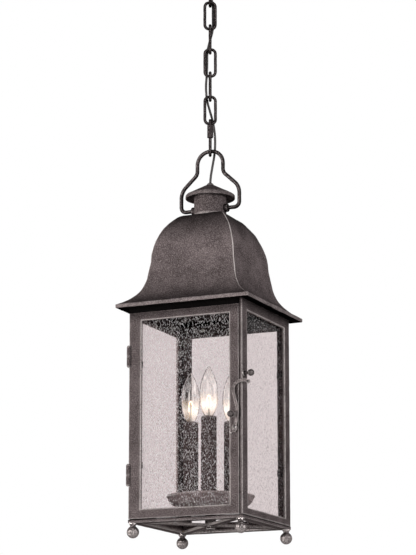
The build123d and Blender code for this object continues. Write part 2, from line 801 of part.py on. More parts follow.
# Latch: a curved strap that turns on a screw in the door and reaches past the corner under the catch
hook_way = [
    (latch_x - 1.4, latch_z - 7),
    (latch_x, latch_z),
    (latch_x + 3.2, latch_z + 14.5),
    (latch_x + 4.2, latch_z + 30.5),
    (latch_x + 0.2, latch_z + 48.5),
    (latch_x - 2.6, latch_z + 60.5),
    (latch_x + 0.5, latch_z + 69.5),
    (latch_x + 8, latch_z + 74.3),
    (latch_x + 17, latch_z + 75.1),
    (latch_x + 24, latch_z + 73.3),
]
front_view = Plane((0, hook_back, 0), x_dir=(1, 0, 0), z_dir=(0, -1, 0))
with BuildPart() as latch_hook:
    with BuildSketch(front_view):
        with BuildLine() as strap:
            Spline(*hook_way)
        trace(line_width=hook_wide)
        with Locations((latch_x, latch_z)):
            Circle(5.0)
        with Locations((knob_x + 0.6, knob_z)):
            Circle(4.4)
        with BuildLine():
            Polyline(
                (knob_x, knob_z + 4),
                (latch_x + 4, latch_z + 29.5),
                (latch_x + 4, latch_z + 10.5),
                (knob_x, knob_z - 4),
                (knob_x, knob_z + 4),
            )
        make_face()
        with Locations((latch_x + 24, latch_z + 72.7)):
            Circle(3.1)
        with Locations((latch_x, latch_z)):
            Circle(latch_screw_r + run_fit, mode=Mode.SUBTRACT)
        with Locations((knob_x, knob_z)):
            Circle(knob_pin_r + run_fit, mode=Mode.SUBTRACT)
    extrude(amount=hook_thick)
latch_hook.part.label = "latch_hook"
export_step(latch_hook.part, "parts/latch_hook.step")

hook_front = hook_back - hook_thick
with BuildPart() as latch_knob:
    with BuildSketch(Plane((knob_x, hook_back - 0.2, knob_z), x_dir=(1, 0, 0), z_dir=(0, -1, 0))):
        Circle(knob_pin_r)
    extrude(amount=hook_thick + 3)
    with BuildSketch(Plane((knob_x, hook_front, knob_z), x_dir=(1, 0, 0), z_dir=(0, -1, 0))):
        Circle(3.0)
    extrude(amount=2.2)
    with Locations((knob_x, hook_front - 1.2 - knob_r, knob_z)):
        Sphere(knob_r)
latch_knob.part.label = "latch_knob"
export_step(latch_knob.part, "parts/latch_knob.step")

stop_x = latch_x - 6.0
stop_z = latch_z - 7.5
with BuildPart() as latch_pivot:
    with BuildSketch(Plane((latch_x, -body + 3.5, latch_z), x_dir=(1, 0, 0), z_dir=(0, -1, 0))):
        Circle(latch_screw_r)
    extrude(amount=4.5 - body - hook_front)
    with BuildSketch(Plane((latch_x, -body, latch_z), x_dir=(1, 0, 0), z_dir=(0, -1, 0))):
        Circle(4.4)
    extrude(amount=-hook_back - body - 0.2)
    with BuildSketch(Plane((latch_x, hook_front - 0.2, latch_z), x_dir=(1, 0, 0), z_dir=(0, -1, 0))):
        Circle(3.8)
    extrude(amount=2.0, taper=25)
    with BuildSketch(Plane((stop_x, -body, stop_z), x_dir=(1, 0, 0), z_dir=(0, -1, 0))):
        Circle(1.4)
    extrude(amount=-hook_front - body)
latch_pivot.part.label = "latch_pivot"
export_step(latch_pivot.part, "parts/latch_pivot.step")

with BuildPart() as latch_catch:
    with BuildSketch(Plane((body, catch_y, catch_z), x_dir=(0, 1, 0), z_dir=(1, 0, 0))):
        Circle(4.6)
    extrude(amount=1.6)
    with BuildSketch(Plane((body, catch_y, catch_z), x_dir=(0, 1, 0), z_dir=(1, 0, 0))):
        Circle(2.4)
    extrude(amount=catch_out - 3)
    with Locations((body + catch_out, catch_y, catch_z)):
        Sphere(catch_r)
latch_catch.part.label = "latch_catch"
export_step(latch_catch.part, "parts/latch_catch.step")

# Candle cluster: stem from the braces, dish, sleeves, sockets and bulbs
dish_top = dish_low + sheet
stem_top = dish_top + nut_high
with BuildPart() as cluster_stem:
    with BuildSketch(Plane.XY.offset(base_low - nut_high)):
        RegularPolygon(nut_r, 6)
    extrude(amount=nut_high)
    with BuildSketch(Plane.XY.offset(base_low)):
        Circle(stem_r)
    extrude(amount=stem_top - base_low)
    with BuildSketch(Plane.XY.offset(base_low + brace_thick)):
        Circle(9)
    extrude(amount=dish_low - base_low - brace_thick)
    with BuildSketch(Plane.XY.offset(base_low - nut_high)):
        Circle(nipple_bore)
    extrude(amount=stem_top - base_low + nut_high, mode=Mode.SUBTRACT)
cluster_stem.part.label = "cluster_stem"
export_step(cluster_stem.part, "parts/cluster_stem.step")

bead_r = 1.7
with BuildPart() as dish:
    with BuildSketch(Plane.XZ):
        with BuildLine():
            Line((stem_r + thread_fit, dish_low), (dish_floor_r, dish_low))
            ThreePointArc(
                (dish_floor_r, dish_low),
                (dish_r - 6.3, dish_low + 5.4),
                (dish_r - bead_r, dish_rim),
            )
            Line((dish_r - bead_r, dish_rim), (dish_r - bead_r - sheet, dish_rim))
            ThreePointArc(
                (dish_r - bead_r - sheet, dish_rim),
                (dish_r - 7.6, dish_low + 6.4),
                (dish_floor_r, dish_top),
            )
            Line((dish_floor_r, dish_top), (stem_r + thread_fit, dish_top))
            Line((stem_r + thread_fit, dish_top), (stem_r + thread_fit, dish_low))
        make_face()
        with Locations((dish_r - bead_r, dish_rim)):
            Circle(bead_r)
    revolve(axis=Axis.Z)
dish.part.label = "dish"
export_step(dish.part, "parts/dish.step")

candle_turns = [radians(candle_turn + 360 / candle_count * k) for k in range(candle_count)]
candles = [(candle_ring * cos(turn), candle_ring * sin(turn)) for turn in candle_turns]
with BuildPart() as candle_sleeves:
    with BuildSketch(Plane.XY.offset(dish_top)):
        with Locations(*candles):
            Circle(sleeve_r)
            Circle(sleeve_r - sleeve_wall, mode=Mode.SUBTRACT)
    extrude(amount=candle_top - dish_top)
candle_sleeves.part.label = "candle_sleeves"
export_step(candle_sleeves.part, "parts/candle_sleeves.step")

socket_r = sleeve_r - sleeve_wall - gap
socket_low = candle_top - 34.0
base_seat = candle_top - 22
with BuildPart() as candle_sockets:
    with BuildSketch(Plane.XY.offset(dish_top)):
        with Locations(*candles):
            Circle(stem_r)
    extrude(amount=socket_low - dish_top)
    with BuildSketch(Plane.XY.offset(socket_low)):
        with Locations(*candles):
            Circle(socket_r)
    extrude(amount=candle_top - 2 - socket_low)
    with BuildSketch(Plane.XY.offset(base_seat)):
        with Locations(*candles):
            Circle(screw_base_r + thread_fit)
    extrude(amount=30, mode=Mode.SUBTRACT)
candle_sockets.part.label = "candle_sockets"
export_step(candle_sockets.part, "parts/candle_sockets.step")

collar_z = candle_top + 1.0
with BuildPart() as bulb_bases:
    with BuildSketch(Plane.XY.offset(base_seat)):
        with Locations(*candles):
            Circle(screw_base_r)
    extrude(amount=collar_z - base_seat)
bulb_bases.part.label = "bulb_bases"
export_step(bulb_bases.part, "parts/bulb_bases.step")


def bulb_side(inset):
    """Half of a torpedo bulb's outline, from its neck to its pointed tip."""
    Line((0, collar_z + inset), (6.4 - inset, collar_z + inset))
    Spline(
        (6.4 - inset, collar_z + inset),
        (bulb_r - inset, collar_z + 31),
        (8.6 - inset, collar_z + 62),
        (0, bulb_tip - inset * 1.6),
        tangents=((0.25, 1), (-0.75, 1)),
    )
    Line((0, bulb_tip - inset * 1.6), (0, collar_z + inset))


with BuildPart() as one_bulb:
    with BuildSketch(Plane.XZ):
        with BuildLine():
            bulb_side(0)
        make_face()
        with BuildSketch(Plane.XZ, mode=Mode.SUBTRACT):
            with BuildLine():
                bulb_side(bulb_wall)
            make_face()
    revolve(axis=Axis.Z)
with BuildPart() as bulb_envelopes:
    with Locations(*[(x, y, 0) for x, y in candles]):
        add(one_bulb.part)
bulb_envelopes.part.label = "bulb_envelopes"
export_step(bulb_envelopes.part, "parts/bulb_envelopes.step")

stem_low = collar_z + bulb_wall
with BuildPart() as one_filament:
    with BuildSketch(Plane.XY.offset(stem_low)):
        Circle(2.4)
    extrude(amount=14)
    with BuildLine(Plane.XZ) as wire:
        FilletPolyline(
            (-1.4, stem_low + 10),
            (-3.6, stem_low + 22),
            (0, stem_low + 35),
            (3.6, stem_low + 22),
            (1.4, stem_low + 10),
            radius=1.2,
        )
    with BuildSketch(Plane(wire.line @ 0, z_dir=wire.line % 0)):
        Circle(0.45)
    sweep(path=wire.line)
with BuildPart() as bulb_filaments:
    with Locations(*[(x, y, 0) for x, y in candles]):
        add(one_filament.part)
bulb_filaments.part.label = "bulb_filaments"
export_step(bulb_filaments.part, "parts/bulb_filaments.step")
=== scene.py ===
import math

import bmesh
import bpy
import numpy as np
from mathutils import Euler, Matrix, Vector


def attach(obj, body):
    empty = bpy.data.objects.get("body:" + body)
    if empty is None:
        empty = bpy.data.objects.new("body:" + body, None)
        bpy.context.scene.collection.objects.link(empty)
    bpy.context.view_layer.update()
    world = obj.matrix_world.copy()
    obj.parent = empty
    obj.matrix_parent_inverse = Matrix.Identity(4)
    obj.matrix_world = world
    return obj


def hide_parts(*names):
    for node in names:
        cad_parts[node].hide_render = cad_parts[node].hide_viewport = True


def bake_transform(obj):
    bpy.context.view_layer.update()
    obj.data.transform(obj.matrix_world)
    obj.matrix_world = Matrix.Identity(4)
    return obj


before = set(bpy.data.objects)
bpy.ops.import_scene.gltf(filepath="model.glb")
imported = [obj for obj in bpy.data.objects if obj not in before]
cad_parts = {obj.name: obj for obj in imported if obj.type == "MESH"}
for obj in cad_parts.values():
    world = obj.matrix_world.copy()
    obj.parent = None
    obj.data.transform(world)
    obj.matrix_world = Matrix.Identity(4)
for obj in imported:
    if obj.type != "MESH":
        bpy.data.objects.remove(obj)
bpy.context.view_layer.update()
mm = 0.001  # sizes below are millimetres, Z is 0 at the ceiling and the door faces -Y
print("frame loaded,", len(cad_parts), "nodes")


def gridFaces(rows, cols, wrapRows, wrapCols):
    # one quad between neighbouring rows and columns; a wrapped side joins its last line to its first
    low = np.arange(rows if wrapRows else rows - 1)[:, None]
    left = np.arange(cols if wrapCols else cols - 1)[None, :]
    high = (low + 1) % rows
    right = (left + 1) % cols
    corners = [low * cols + left, low * cols + right, high * cols + right, high * cols + left]
    return np.stack(np.broadcast_arrays(*corners), -1).reshape(-1, 4)


def patch(points, wrapRows=False, wrapCols=True, wearShadeAndGlow=0.0):
    # a grid of points as vertices, quads and each vertex's mark: how worn it is, or below 0 how much painted
    # shade it has
    rows, cols = points.shape[:2]
    worn = np.broadcast_to(np.asarray(wearShadeAndGlow, float), (rows, cols))
    return points.reshape(-1, 3), gridFaces(rows, cols, wrapRows, wrapCols), worn.reshape(-1)


def bentLine(corners, radii, steps=4, closed=False):
    # each corner becomes an arc that touches both its sides; the second result is 1 on arcs and 0 elsewhere
    spots = np.asarray(corners, float)
    radii = np.broadcast_to(np.asarray(radii, float), len(spots))
    line, worn = [], []
    for k, spot in enumerate(spots):
        if radii[k] == 0 or (not closed and k in (0, len(spots) - 1)):
            line.append(spot[None])
            worn.append(np.zeros(1))
            continue
        back = spots[k - 1] - spot
        ahead = spots[(k + 1) % len(spots)] - spot
        back /= np.linalg.norm(back)
        ahead /= np.linalg.norm(ahead)
        half = math.acos(np.clip(back @ ahead, -1, 1)) / 2
        inward = (back + ahead) / np.linalg.norm(back + ahead)
        centre = spot + inward * radii[k] / math.sin(half)
        first = spot + back * radii[k] / math.tan(half) - centre
        last = spot + ahead * radii[k] / math.tan(half) - centre
        turn = math.pi - 2 * half
        share = np.linspace(0, 1, steps + 1)[:, None]
        sweep = np.sin((1 - share) * turn) * first + np.sin(share * turn) * last
        line.append(centre + sweep / math.sin(turn))
        worn.append(np.ones(steps + 1))
    return np.concatenate(line), np.concatenate(worn)


def finer(line, worn, step, closed=False):
    # runs longer than step get evenly spaced points between their ends
    stops = np.concatenate([line, line[:1]]) if closed else line
    runs, marks = [], []
    for start, end, mark in zip(stops[:-1], stops[1:], worn):
        count = max(1, int(np.linalg.norm(end - start) / step))
        runs.append(np.linspace(start, end, count, endpoint=False))
        marks.append(np.r_[mark, np.zeros(count - 1)])
    if not closed:
        runs.append(line[-1:])
        marks.append(worn[-1:])
    return np.concatenate(runs), np.concatenate(marks)


def throughPoints(spots, steps=8):
    # a smooth line through the points: on each run a cubic whose slopes come from the neighbours
    spots = np.asarray(spots, float)
    slopes = np.gradient(spots, axis=0)
    t = np.linspace(0, 1, steps, endpoint=False)[:, None, None]
    start, end, leave, meet = spots[:-1], spots[1:], slopes[:-1], slopes[1:]
    line = (2 * t**3 - 3 * t**2 + 1) * start + (t**3 - 2 * t**2 + t) * leave
    line = line + (3 * t**2 - 2 * t**3) * end + (t**3 - t**2) * meet
    return np.concatenate([line.transpose(1, 0, 2).reshape(-1, spots.shape[1]), spots[-1:]])


def turned(profile, wearShadeAndGlow=0.0, steps=64, at=(0, 0, 0), axis=(0, 0, 1), wrap=True):
    # each (radius, height) of the profile carried round the axis through at
    profile = np.asarray(profile, float)
    axis = np.asarray(axis, float)
    right = np.roll(axis, 1)
    front = np.cross(axis, right)
    turn = np.linspace(0, 2 * math.pi, steps, endpoint=False)[:, None]
    ring = np.cos(turn) * right + np.sin(turn) * front
    points = np.asarray(at, float) + profile[:, None, :1] * ring + profile[:, None, 1:] * axis
    return patch(points, wrapRows=wrap, wearShadeAndGlow=np.asarray(wearShadeAndGlow)[..., None] if np.ndim(wearShadeAndGlow) else wearShadeAndGlow)


def lathe(corners, radii, step=4.0, steps=64, at=(0, 0, 0), axis=(0, 0, 1), closed=True, rub=0.5):
    # a turned piece from its section's corners, with softened edges that show wear
    line, worn = finer(*bentLine(corners, radii, 3, closed), step, closed)
    return turned(line, worn * rub, steps, at, axis, closed)


def circleOf(radius, steps=20):
    turn = np.linspace(0, 2 * math.pi, steps, endpoint=False)
    return np.stack([radius * np.cos(turn), radius * np.sin(turn)], -1)


def rodRubAndShade(steps, lines=1):
    # round a rod: rubbed lighter along as many pairs of lines, partly a painted highlight, and painted shade
    # between them on the sides that turn from the light
    turn = np.linspace(0, 2 * math.pi, steps, endpoint=False)
    return 0.12 - np.abs(np.sin(lines * turn)) ** 1.6


def barOf(wide, thick, soft, steps=3):
    # section of a flat bar with softened edges
    half = np.array([wide, thick]) / 2
    return bentLine([-half, half * (1, -1), half, half * (-1, 1)], soft, steps, True)


def closedEnds(points):
    # a row more at each end, all its points in that end's middle
    ends = [np.repeat(points[k].mean(0)[None, None], points.shape[1], 1) for k in (0, -1)]
    return np.concatenate([ends[0], points, ends[1]])


def carried(path, section, across, closed=False, wearShadeAndGlow=0.0):
    # the section stands square to the path, its first axis as near to across as that allows
    ahead = np.roll(path, -1, 0) - np.roll(path, 1, 0)
    if not closed:
        ahead[0] = path[1] - path[0]
        ahead[-1] = path[-1] - path[-2]
    ahead /= np.linalg.norm(ahead, axis=1, keepdims=True)
    right = np.asarray(across, float) - (ahead @ np.asarray(across, float))[:, None] * ahead
    right /= np.linalg.norm(right, axis=1, keepdims=True)
    over = np.cross(ahead, right)
    points = path[:, None] + right[:, None] * section[..., :1] + over[:, None] * section[..., 1:]
    wearShadeAndGlow = np.broadcast_to(np.asarray(wearShadeAndGlow, float), points.shape[:2])
    if not closed:
        points = closedEnds(points)
        wearShadeAndGlow = np.concatenate([wearShadeAndGlow[:1], wearShadeAndGlow, wearShadeAndGlow[-1:]])
    return patch(points, wrapRows=closed, wearShadeAndGlow=wearShadeAndGlow)


def barFrame(outer, inner, depth, place, soft=0.7, edge=0.7, stops=(), step=4.0):
    # flat bar round an opening, mitred at its corners: rectangles that run from the outer edge over the face
    # to the inner edge and back over the far side; place turns (across, up, depth) into x, y, z
    front, back = depth
    bend = np.linspace(0, math.pi / 2, 4)
    rubs = (0.1, 0.75, 0.75, 0.25)
    rows = [  # share of the way in, inset, depth, wear (below 0: painted shade)
        (0, edge * (1 - math.cos(a)), front + edge * (1 - math.sin(a)), rub) for a, rub in zip(bend, rubs)
    ]
    rows += [(0, edge + 1.2, front, 0)] + [(share, 0, front, 0) for share in (0.25, 0.42, 0.58, 0.75)]
    rows += [(1, -3 * soft, front, 0.1), (1, -soft, front, 1), (1, 0, front + soft, 0.9)]
    rows += [(1, 0, back - soft, 0.1), (1, -soft, back, 0), (1, -3 * soft, back, 0), (0, 3 * soft, back, 0)]
    # painted shadow: the outer side next to the back edge is painted dark, for the gap where the bar meets
    # the part behind it
    rows += [(0, soft, back, -1), (0, 0, back - soft, -1), (0, 0, back - soft - 1.4, 0)]
    share, inset, deep, wearShadeAndGlow = np.array(rows, float).T
    edges = (1 - share)[:, None] * np.array(outer) + share[:, None] * np.array(inner)
    edges = edges + inset[:, None] * np.array([1, 1, -1, -1])
    corners = np.stack([edges[:, [0, 1]], edges[:, [2, 1]], edges[:, [2, 3]], edges[:, [0, 3]]], 1)
    sides = []
    for k in range(4):
        start, end = corners[:, k], corners[:, (k + 1) % 4]
        long = np.abs(end - start).sum(1).max()
        along = np.r_[0, soft / long, np.linspace(0, 1, int(long / step))[1:-1], 1 - soft / long]
        if k == 3:
            along = np.sort(np.r_[along, (outer[3] - np.array(stops)) / long])
        sides.append(start[:, None] + (end - start)[:, None] * along[None, :, None])
    flat = np.concatenate(sides, 1)
    points = place(flat[..., 0], flat[..., 1], np.broadcast_to(deep[:, None], flat.shape[:2]))
    return patch(points, wrapRows=True, wearShadeAndGlow=wearShadeAndGlow[:, None])


def roundedBox(low, high, soft=0.6, step=5.0):
    # a block as one bar carried along its longest side, with softened edges all round
    low, high = np.asarray(low, float), np.asarray(high, float)
    size = high - low
    long = int(np.argmax(size))
    one, two = [k for k in range(3) if k != long]
    runs = int(size[long] / step) + 2
    along = np.r_[0, np.linspace(soft, size[long] - soft, runs), size[long]]
    pull = np.where((along == 0) | (along == size[long]), soft, 0)
    edge, worn = finer(*barOf(size[one], size[two], soft), 6.0, True)
    shrink = 1 - pull[:, None, None] * 2 / np.array([size[one], size[two]])
    ring = edge[None] * shrink
    points = np.empty((len(along), len(edge), 3))
    points[..., long] = low[long] + along[:, None]
    points[..., one] = (low[one] + high[one]) / 2 + ring[..., 0]
    points[..., two] = (low[two] + high[two]) / 2 + ring[..., 1]
    return patch(closedEnds(points), wearShadeAndGlow=worn[None])


def slab(outer, depth, place, step=2.0):
    # two fine grids a pane's thickness apart, joined round their edges
    across = np.linspace(outer[0], outer[2], int((outer[2] - outer[0]) / step) + 1)
    up = np.linspace(outer[1], outer[3], int((outer[3] - outer[1]) / step) + 1)
    wide, high = np.meshgrid(across, up)
    faces = [place(wide, high, np.full_like(wide, deep)) for deep in depth]
    rims = [np.concatenate([f[0], f[1:-1, -1], f[-1, ::-1], f[-2:0:-1, 0]]) for f in faces]
    return [patch(f, wrapCols=False) for f in faces] + [patch(np.stack(rims))]


def arcThrough(first, middle, last, steps=12):
    # points on the circle through three points, from the first to the last
    first, middle, last = (np.asarray(p, float) for p in (first, middle, last))
    sums = np.array([middle @ middle - first @ first, last @ last - first @ first])
    centre = np.linalg.solve(2 * np.stack([middle - first, last - first]), sums)
    spokes = np.stack([first, middle, last]) - centre
    turns = np.unwrap(np.arctan2(spokes[:, 1], spokes[:, 0]))
    turn = np.linspace(turns[0], turns[2], steps + 1)
    return centre + np.linalg.norm(spokes[0]) * np.stack([np.cos(turn), np.sin(turn)], -1)


def arcFrom(start, heading, end, steps=12):
    # the arc that leaves start along heading and meets end: its middle stands over the chord's by the sagitta
    start, heading, end = (np.asarray(p, float) for p in (start, heading, end))
    run = end - start
    normal = np.array([-run[1], run[0]])
    turn = math.atan2(heading[0] * run[1] - heading[1] * run[0], heading @ run)
    return arcThrough(start, start + run / 2 - normal / 2 * math.tan(turn / 2), end, steps)


def squareRings(halves, soft, runSteps=60, bendSteps=4):
    # rounded squares, one for each half width: four straight runs with a quarter circle after each
    halves, soft = np.broadcast_arrays(np.asarray(halves, float)[:, None], np.asarray(soft, float)[..., None])
    run = np.linspace(-1, 1, runSteps)[None]
    bend = np.linspace(0, math.pi / 2, bendSteps + 1)[None, 1:-1]
    flat = np.stack([halves + 0 * run, run * (halves - soft)], -1)
    arc = halves[..., None] - soft[..., None] + soft[..., None] * np.stack([np.cos(bend), np.sin(bend)], -1)
    quarters = [np.concatenate([flat, arc], 1)]
    for k in range(3):
        quarters.append(np.stack([-quarters[-1][..., 1], quarters[-1][..., 0]], -1))
    hips = np.tile(np.r_[np.zeros(runSteps), np.ones(bendSteps - 1)], 4)
    return np.concatenate(quarters, 1), hips


def hexTube(flat, bore, low, high, soft, at=(0, 0), steps=48):
    # rings from the bore out over six flat sides and back; a side's radius is its distance over the cosine of
    # the angle from its middle
    angle = np.linspace(0, 2 * math.pi, steps, endpoint=False)
    sides = flat / 2 / np.cos(angle % (math.pi / 3) - math.pi / 6)
    rows = np.array([  # share of the side's radius, added radius, height, wear
        (0, bore, low, 0), (1, -soft, low, 1), (1, 0, low + soft, 1), (1, 0, low + 3 * soft, 0),
        (1, 0, high - 3 * soft, 0), (1, 0, high - soft, 1), (1, -soft, high, 1), (0, bore, high, 0),
    ])
    radius = rows[:, :1] * sides + rows[:, 1:2]
    across, along = at[0] + radius * np.cos(angle), at[1] + radius * np.sin(angle)
    points = np.stack([across, along, rows[:, 2:3] + 0 * radius], -1)
    return patch(points, wrapRows=True, wearShadeAndGlow=rows[:, 3:])


def ballOn(neck, radius, centre, steps=14):
    # a ball's outline from its neck round to its far pole, as (radius, height), height growing off the neck
    turn = np.linspace(math.asin(neck / radius), math.pi, steps)
    return np.stack([radius * np.sin(turn), centre - radius * np.cos(turn)], -1)


def ripple(points, wave, seed):
    # a sum of slanted sine waves, all of about one length: a smooth unevenness of about -1 to 1
    draw = np.random.default_rng(seed)
    turns = draw.normal(size=(16, 3))
    pace = 2 * math.pi / wave * draw.uniform(0.6, 1.5, (16, 1))
    turns *= pace / np.linalg.norm(turns, axis=1, keepdims=True)
    return np.sin(points @ turns.T + draw.uniform(0, 2 * math.pi, 16)).sum(-1) / 6


def intoScene(thing):
    bpy.context.scene.collection.objects.link(thing)
    return thing


def addPiece(name, node, finish, patches, uneven=(), sharp=50, body="lantern"):
    # patches become one mesh in the node's place, shared points are joined, and uneven moves points along
    # their normals by (depth, wave)
    counts = np.cumsum([0] + [len(p[0]) for p in patches])
    mesh = bpy.data.meshes.new(name)
    mesh.from_pydata(
        (np.concatenate([p[0] for p in patches]) * mm).tolist(),
        [],
        np.concatenate([p[1] + start for p, start in zip(patches, counts)]).tolist(),
    )
    worn = mesh.attributes.new("wearShadeAndGlow", "FLOAT", "POINT")
    worn.data.foreach_set("value", np.concatenate([p[2] for p in patches]))
    work = bmesh.new()
    work.from_mesh(mesh)
    bmesh.ops.remove_doubles(work, verts=work.verts, dist=1e-6)
    bmesh.ops.recalc_face_normals(work, faces=work.faces)
    work.to_mesh(mesh)
    work.free()
    for depth, wave in uneven:
        spots = np.empty(len(mesh.vertices) * 3)
        normals = np.empty(len(mesh.vertices) * 3)
        mesh.vertices.foreach_get("co", spots)
        mesh.vertex_normals.foreach_get("vector", normals)
        spots = spots.reshape(-1, 3)
        lift = ripple(spots, wave * mm, len(name)) * depth * mm
        mesh.vertices.foreach_set("co", (spots + normals.reshape(-1, 3) * lift[:, None]).reshape(-1))
    mesh.polygons.foreach_set("use_smooth", np.ones(len(mesh.polygons), bool))
    mesh.set_sharp_from_angle(angle=math.radians(sharp))
    mesh.materials.append(finish)
    piece = intoScene(bpy.data.objects.new(name, mesh))
    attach(piece, body)
    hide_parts(node)
    return piece


class Wire:
    # an output socket; sums and products with it add Math nodes to its tree
    def __init__(self, tree, socket=None):
        self.tree = tree
        self.socket = socket

    def node(self, kind, settings=None, sockets=None, out=0):
        made = self.tree.nodes.new("ShaderNode" + kind)
        for key, value in (settings or {}).items():
            setattr(made, key, value)
        for key, value in (sockets or {}).items():
            if isinstance(value, Wire):
                self.tree.links.new(value.socket, made.inputs[key])
            else:
                made.inputs[key].default_value = value
        return Wire(self.tree, made.outputs[out] if made.outputs else None)

    def math(self, operation, first, second, clamp=False):
        return self.node("Math", {"operation": operation, "use_clamp": clamp}, {0: first, 1: second})

    def clamped(self):
        return self.math("ADD", self, 0.0, True)

    def __add__(self, other):
        return self.math("ADD", self, other)

    def __radd__(self, other):
        return self.math("ADD", other, self)

    def __sub__(self, other):
        return self.math("SUBTRACT", self, other)

    def __rsub__(self, other):
        return self.math("SUBTRACT", other, self)

    def __mul__(self, other):
        return self.math("MULTIPLY", self, other)

    def __rmul__(self, other):
        return self.math("MULTIPLY", other, self)

    def __truediv__(self, other):
        return self.math("DIVIDE", self, other)

    def __rtruediv__(self, other):
        return self.math("DIVIDE", other, self)


def newFinish(name):
    # an empty material, the wire that adds its nodes and the place on the piece
    material = bpy.data.materials.new(name)
    material.use_nodes = True
    material.node_tree.nodes.clear()
    pen = Wire(material.node_tree)
    return material, pen, pen.node("TexCoord", out="Object")


def finished(material, pen, shader):
    pen.node("OutputMaterial", sockets={"Surface": shader})
    return material


def blendColours(pen, share, first, second):
    return pen.node("Mix", {"data_type": "RGBA"}, {0: share, 6: first, 7: second}, out=2)


def rampUp(value, low, high):
    # 0 below low, 1 above high, straight between
    return ((value - low) / (high - low)).clamped()


def noise(pen, place, scale, detail=2.0, rough=0.5):
    grit = {"Vector": place, "Scale": scale, "Detail": detail, "Roughness": rough}
    return pen.node("TexNoise", sockets=grit)


def cells(pen, place, scale, out="Distance"):
    # scattered points: the distance to the nearest, or a colour drawn for it
    return pen.node("TexVoronoi", sockets={"Vector": place, "Scale": scale}, out=out)


def cellDraw(pen, place, scale):
    # a number of 0 to 1 drawn for the nearest of the scattered points
    return pen.node("RGBToBW", sockets={0: cells(pen, place, scale, "Color")})


def drawnOut(pen, place, stretch):
    # the place with its height scaled, so that a pattern on it is longer upright
    return pen.node("Mapping", sockets={"Vector": place, "Scale": (1.0, 1.0, stretch)})


def heightOf(pen, place):
    return pen.node("SeparateXYZ", sockets={0: place}, out="Z")


def bronzeFinish(name, look):
    # cast and hammered bronze paint: cloudy tone, pale grains, shallow dents, edges rubbed where the mark is
    # above 0;
    # below 0 it is painted darker: mostly painted shade, and on the quick link's sleeve a plain darkening
    material, pen, place = newFinish(name)
    cloud = noise(pen, place, look["cloud"], 4.0, 0.6)
    grain = noise(pen, place, look["grain"], 2.0, 0.55)
    spread = {"Vector": place, "Scale": look["dents"], "Smoothness": 0.5}
    dents = pen.node("TexVoronoi", {"feature": "SMOOTH_F1"}, spread)
    wearShadeAndGlow = pen.node("Attribute", {"attribute_name": "wearShadeAndGlow"}, out="Fac")
    tone = rampUp(cloud, 0.32, 0.68)
    speck = rampUp(grain + 0.15 * cloud, look["sparse"], look["sparse"] + 0.14) * look["speckle"]
    rubbed = (wearShadeAndGlow * rampUp(grain + 0.35 * cloud, 0.42, 0.72) * look["rub"]).clamped()
    colour = blendColours(pen, tone, look["dark"], look["light"])
    colour = blendColours(pen, speck, colour, look["pale"])
    colour = blendColours(pen, rubbed, colour, look["worn"])
    # painted shade: marks below 0 darken the colour towards near black
    colour = blendColours(pen, (0 - wearShadeAndGlow).clamped(), colour, look["sootAndShade"])
    height = dents * look["dentShare"] + grain
    bump = pen.node("Bump", sockets={"Strength": look["bump"], "Distance": 0.0014, "Height": height})
    return finished(material, pen, pen.node("BsdfPrincipled", sockets={
        "Base Color": colour,
        "Metallic": look["metal"] + 0.3 * rubbed,
        "Roughness": look["rough"] + 0.14 * tone - 0.10 * rubbed,
        "Specular IOR Level": look["gloss"],
        "Specular Tint": look["rim"],
        "Normal": bump,
    }))


castBronze = {
    "cloud": 30.0, "grain": 700.0, "dents": 330.0, "dentShare": 0.8, "bump": 0.7,
    "sparse": 0.545, "speckle": 0.7, "rub": 0.9, "metal": 0.18, "rough": 0.44, "gloss": 0.0,
    "dark": (0.050, 0.039, 0.039, 1), "light": (0.079, 0.0625, 0.0625, 1), "pale": (0.26, 0.218, 0.216, 1),
    "worn": (0.52, 0.472, 0.457, 1), "sootAndShade": (0.004, 0.0035, 0.0035, 1), "rim": (0.16, 0.14, 0.14, 1),
}
bronze = bronzeFinish("castBronze", castBronze)
forged = bronzeFinish("forgedBronze", {
    **castBronze, "metal": 0.95, "rough": 0.3, "speckle": 0.35, "rim": (0.010, 0.0085, 0.0085, 1),
    "dark": (0.020, 0.0167, 0.0167, 1), "light": (0.060, 0.049, 0.049, 1), "pale": (0.17, 0.145, 0.143, 1),
})
hammered = bronzeFinish("hammeredBronze", {
    **castBronze, "dents": 420.0, "sparse": 0.54, "speckle": 0.55, "bump": 0.6,
    "dark": (0.072, 0.0567, 0.0567, 1), "light": (0.126, 0.100, 0.100, 1), "pale": (0.34, 0.286, 0.284, 1),
})
# the strap's bronze, lighter than the cast bronze: partly rubbed metal, partly a painted highlight for its
# lit edge
rubbedAndLitStrap = bronzeFinish("rubbedAndLitStrap", {
    **castBronze, "metal": 0.4, "rough": 0.36, "rub": 0.8,
    "dark": (0.085, 0.071, 0.069, 1), "light": (0.16, 0.136, 0.132, 1),
})
# the dish's bronze is the cast bronze painted several times lighter, for the light that reaches its
# underside: painted light
litDishBronze = bronzeFinish("litDishBronze", {
    **castBronze, "dark": (0.26, 0.215, 0.21, 1), "light": (0.44, 0.37, 0.365, 1),
})
footBronze = bronzeFinish("footBronze", {
    **castBronze, "metal": 0.7, "rough": 0.24,
    "dark": (0.020, 0.016, 0.016, 1), "light": (0.060, 0.049, 0.048, 1), "pale": (0.36, 0.316, 0.31, 1),
})


def steelFinish():
    # zinc-plated steel with faint spangle
    material, pen, place = newFinish("platedSteel")
    grain = noise(pen, place, 900.0, 4.0)
    tone = cellDraw(pen, place, 320.0) * 0.5 + grain * 0.3
    colour = blendColours(pen, tone, (0.24, 0.24, 0.232, 1), (0.44, 0.433, 0.412, 1))
    shader = {"Base Color": colour, "Metallic": 1.0, "Roughness": 0.3 + 0.25 * grain}
    return finished(material, pen, pen.node("BsdfPrincipled", sockets=shader))


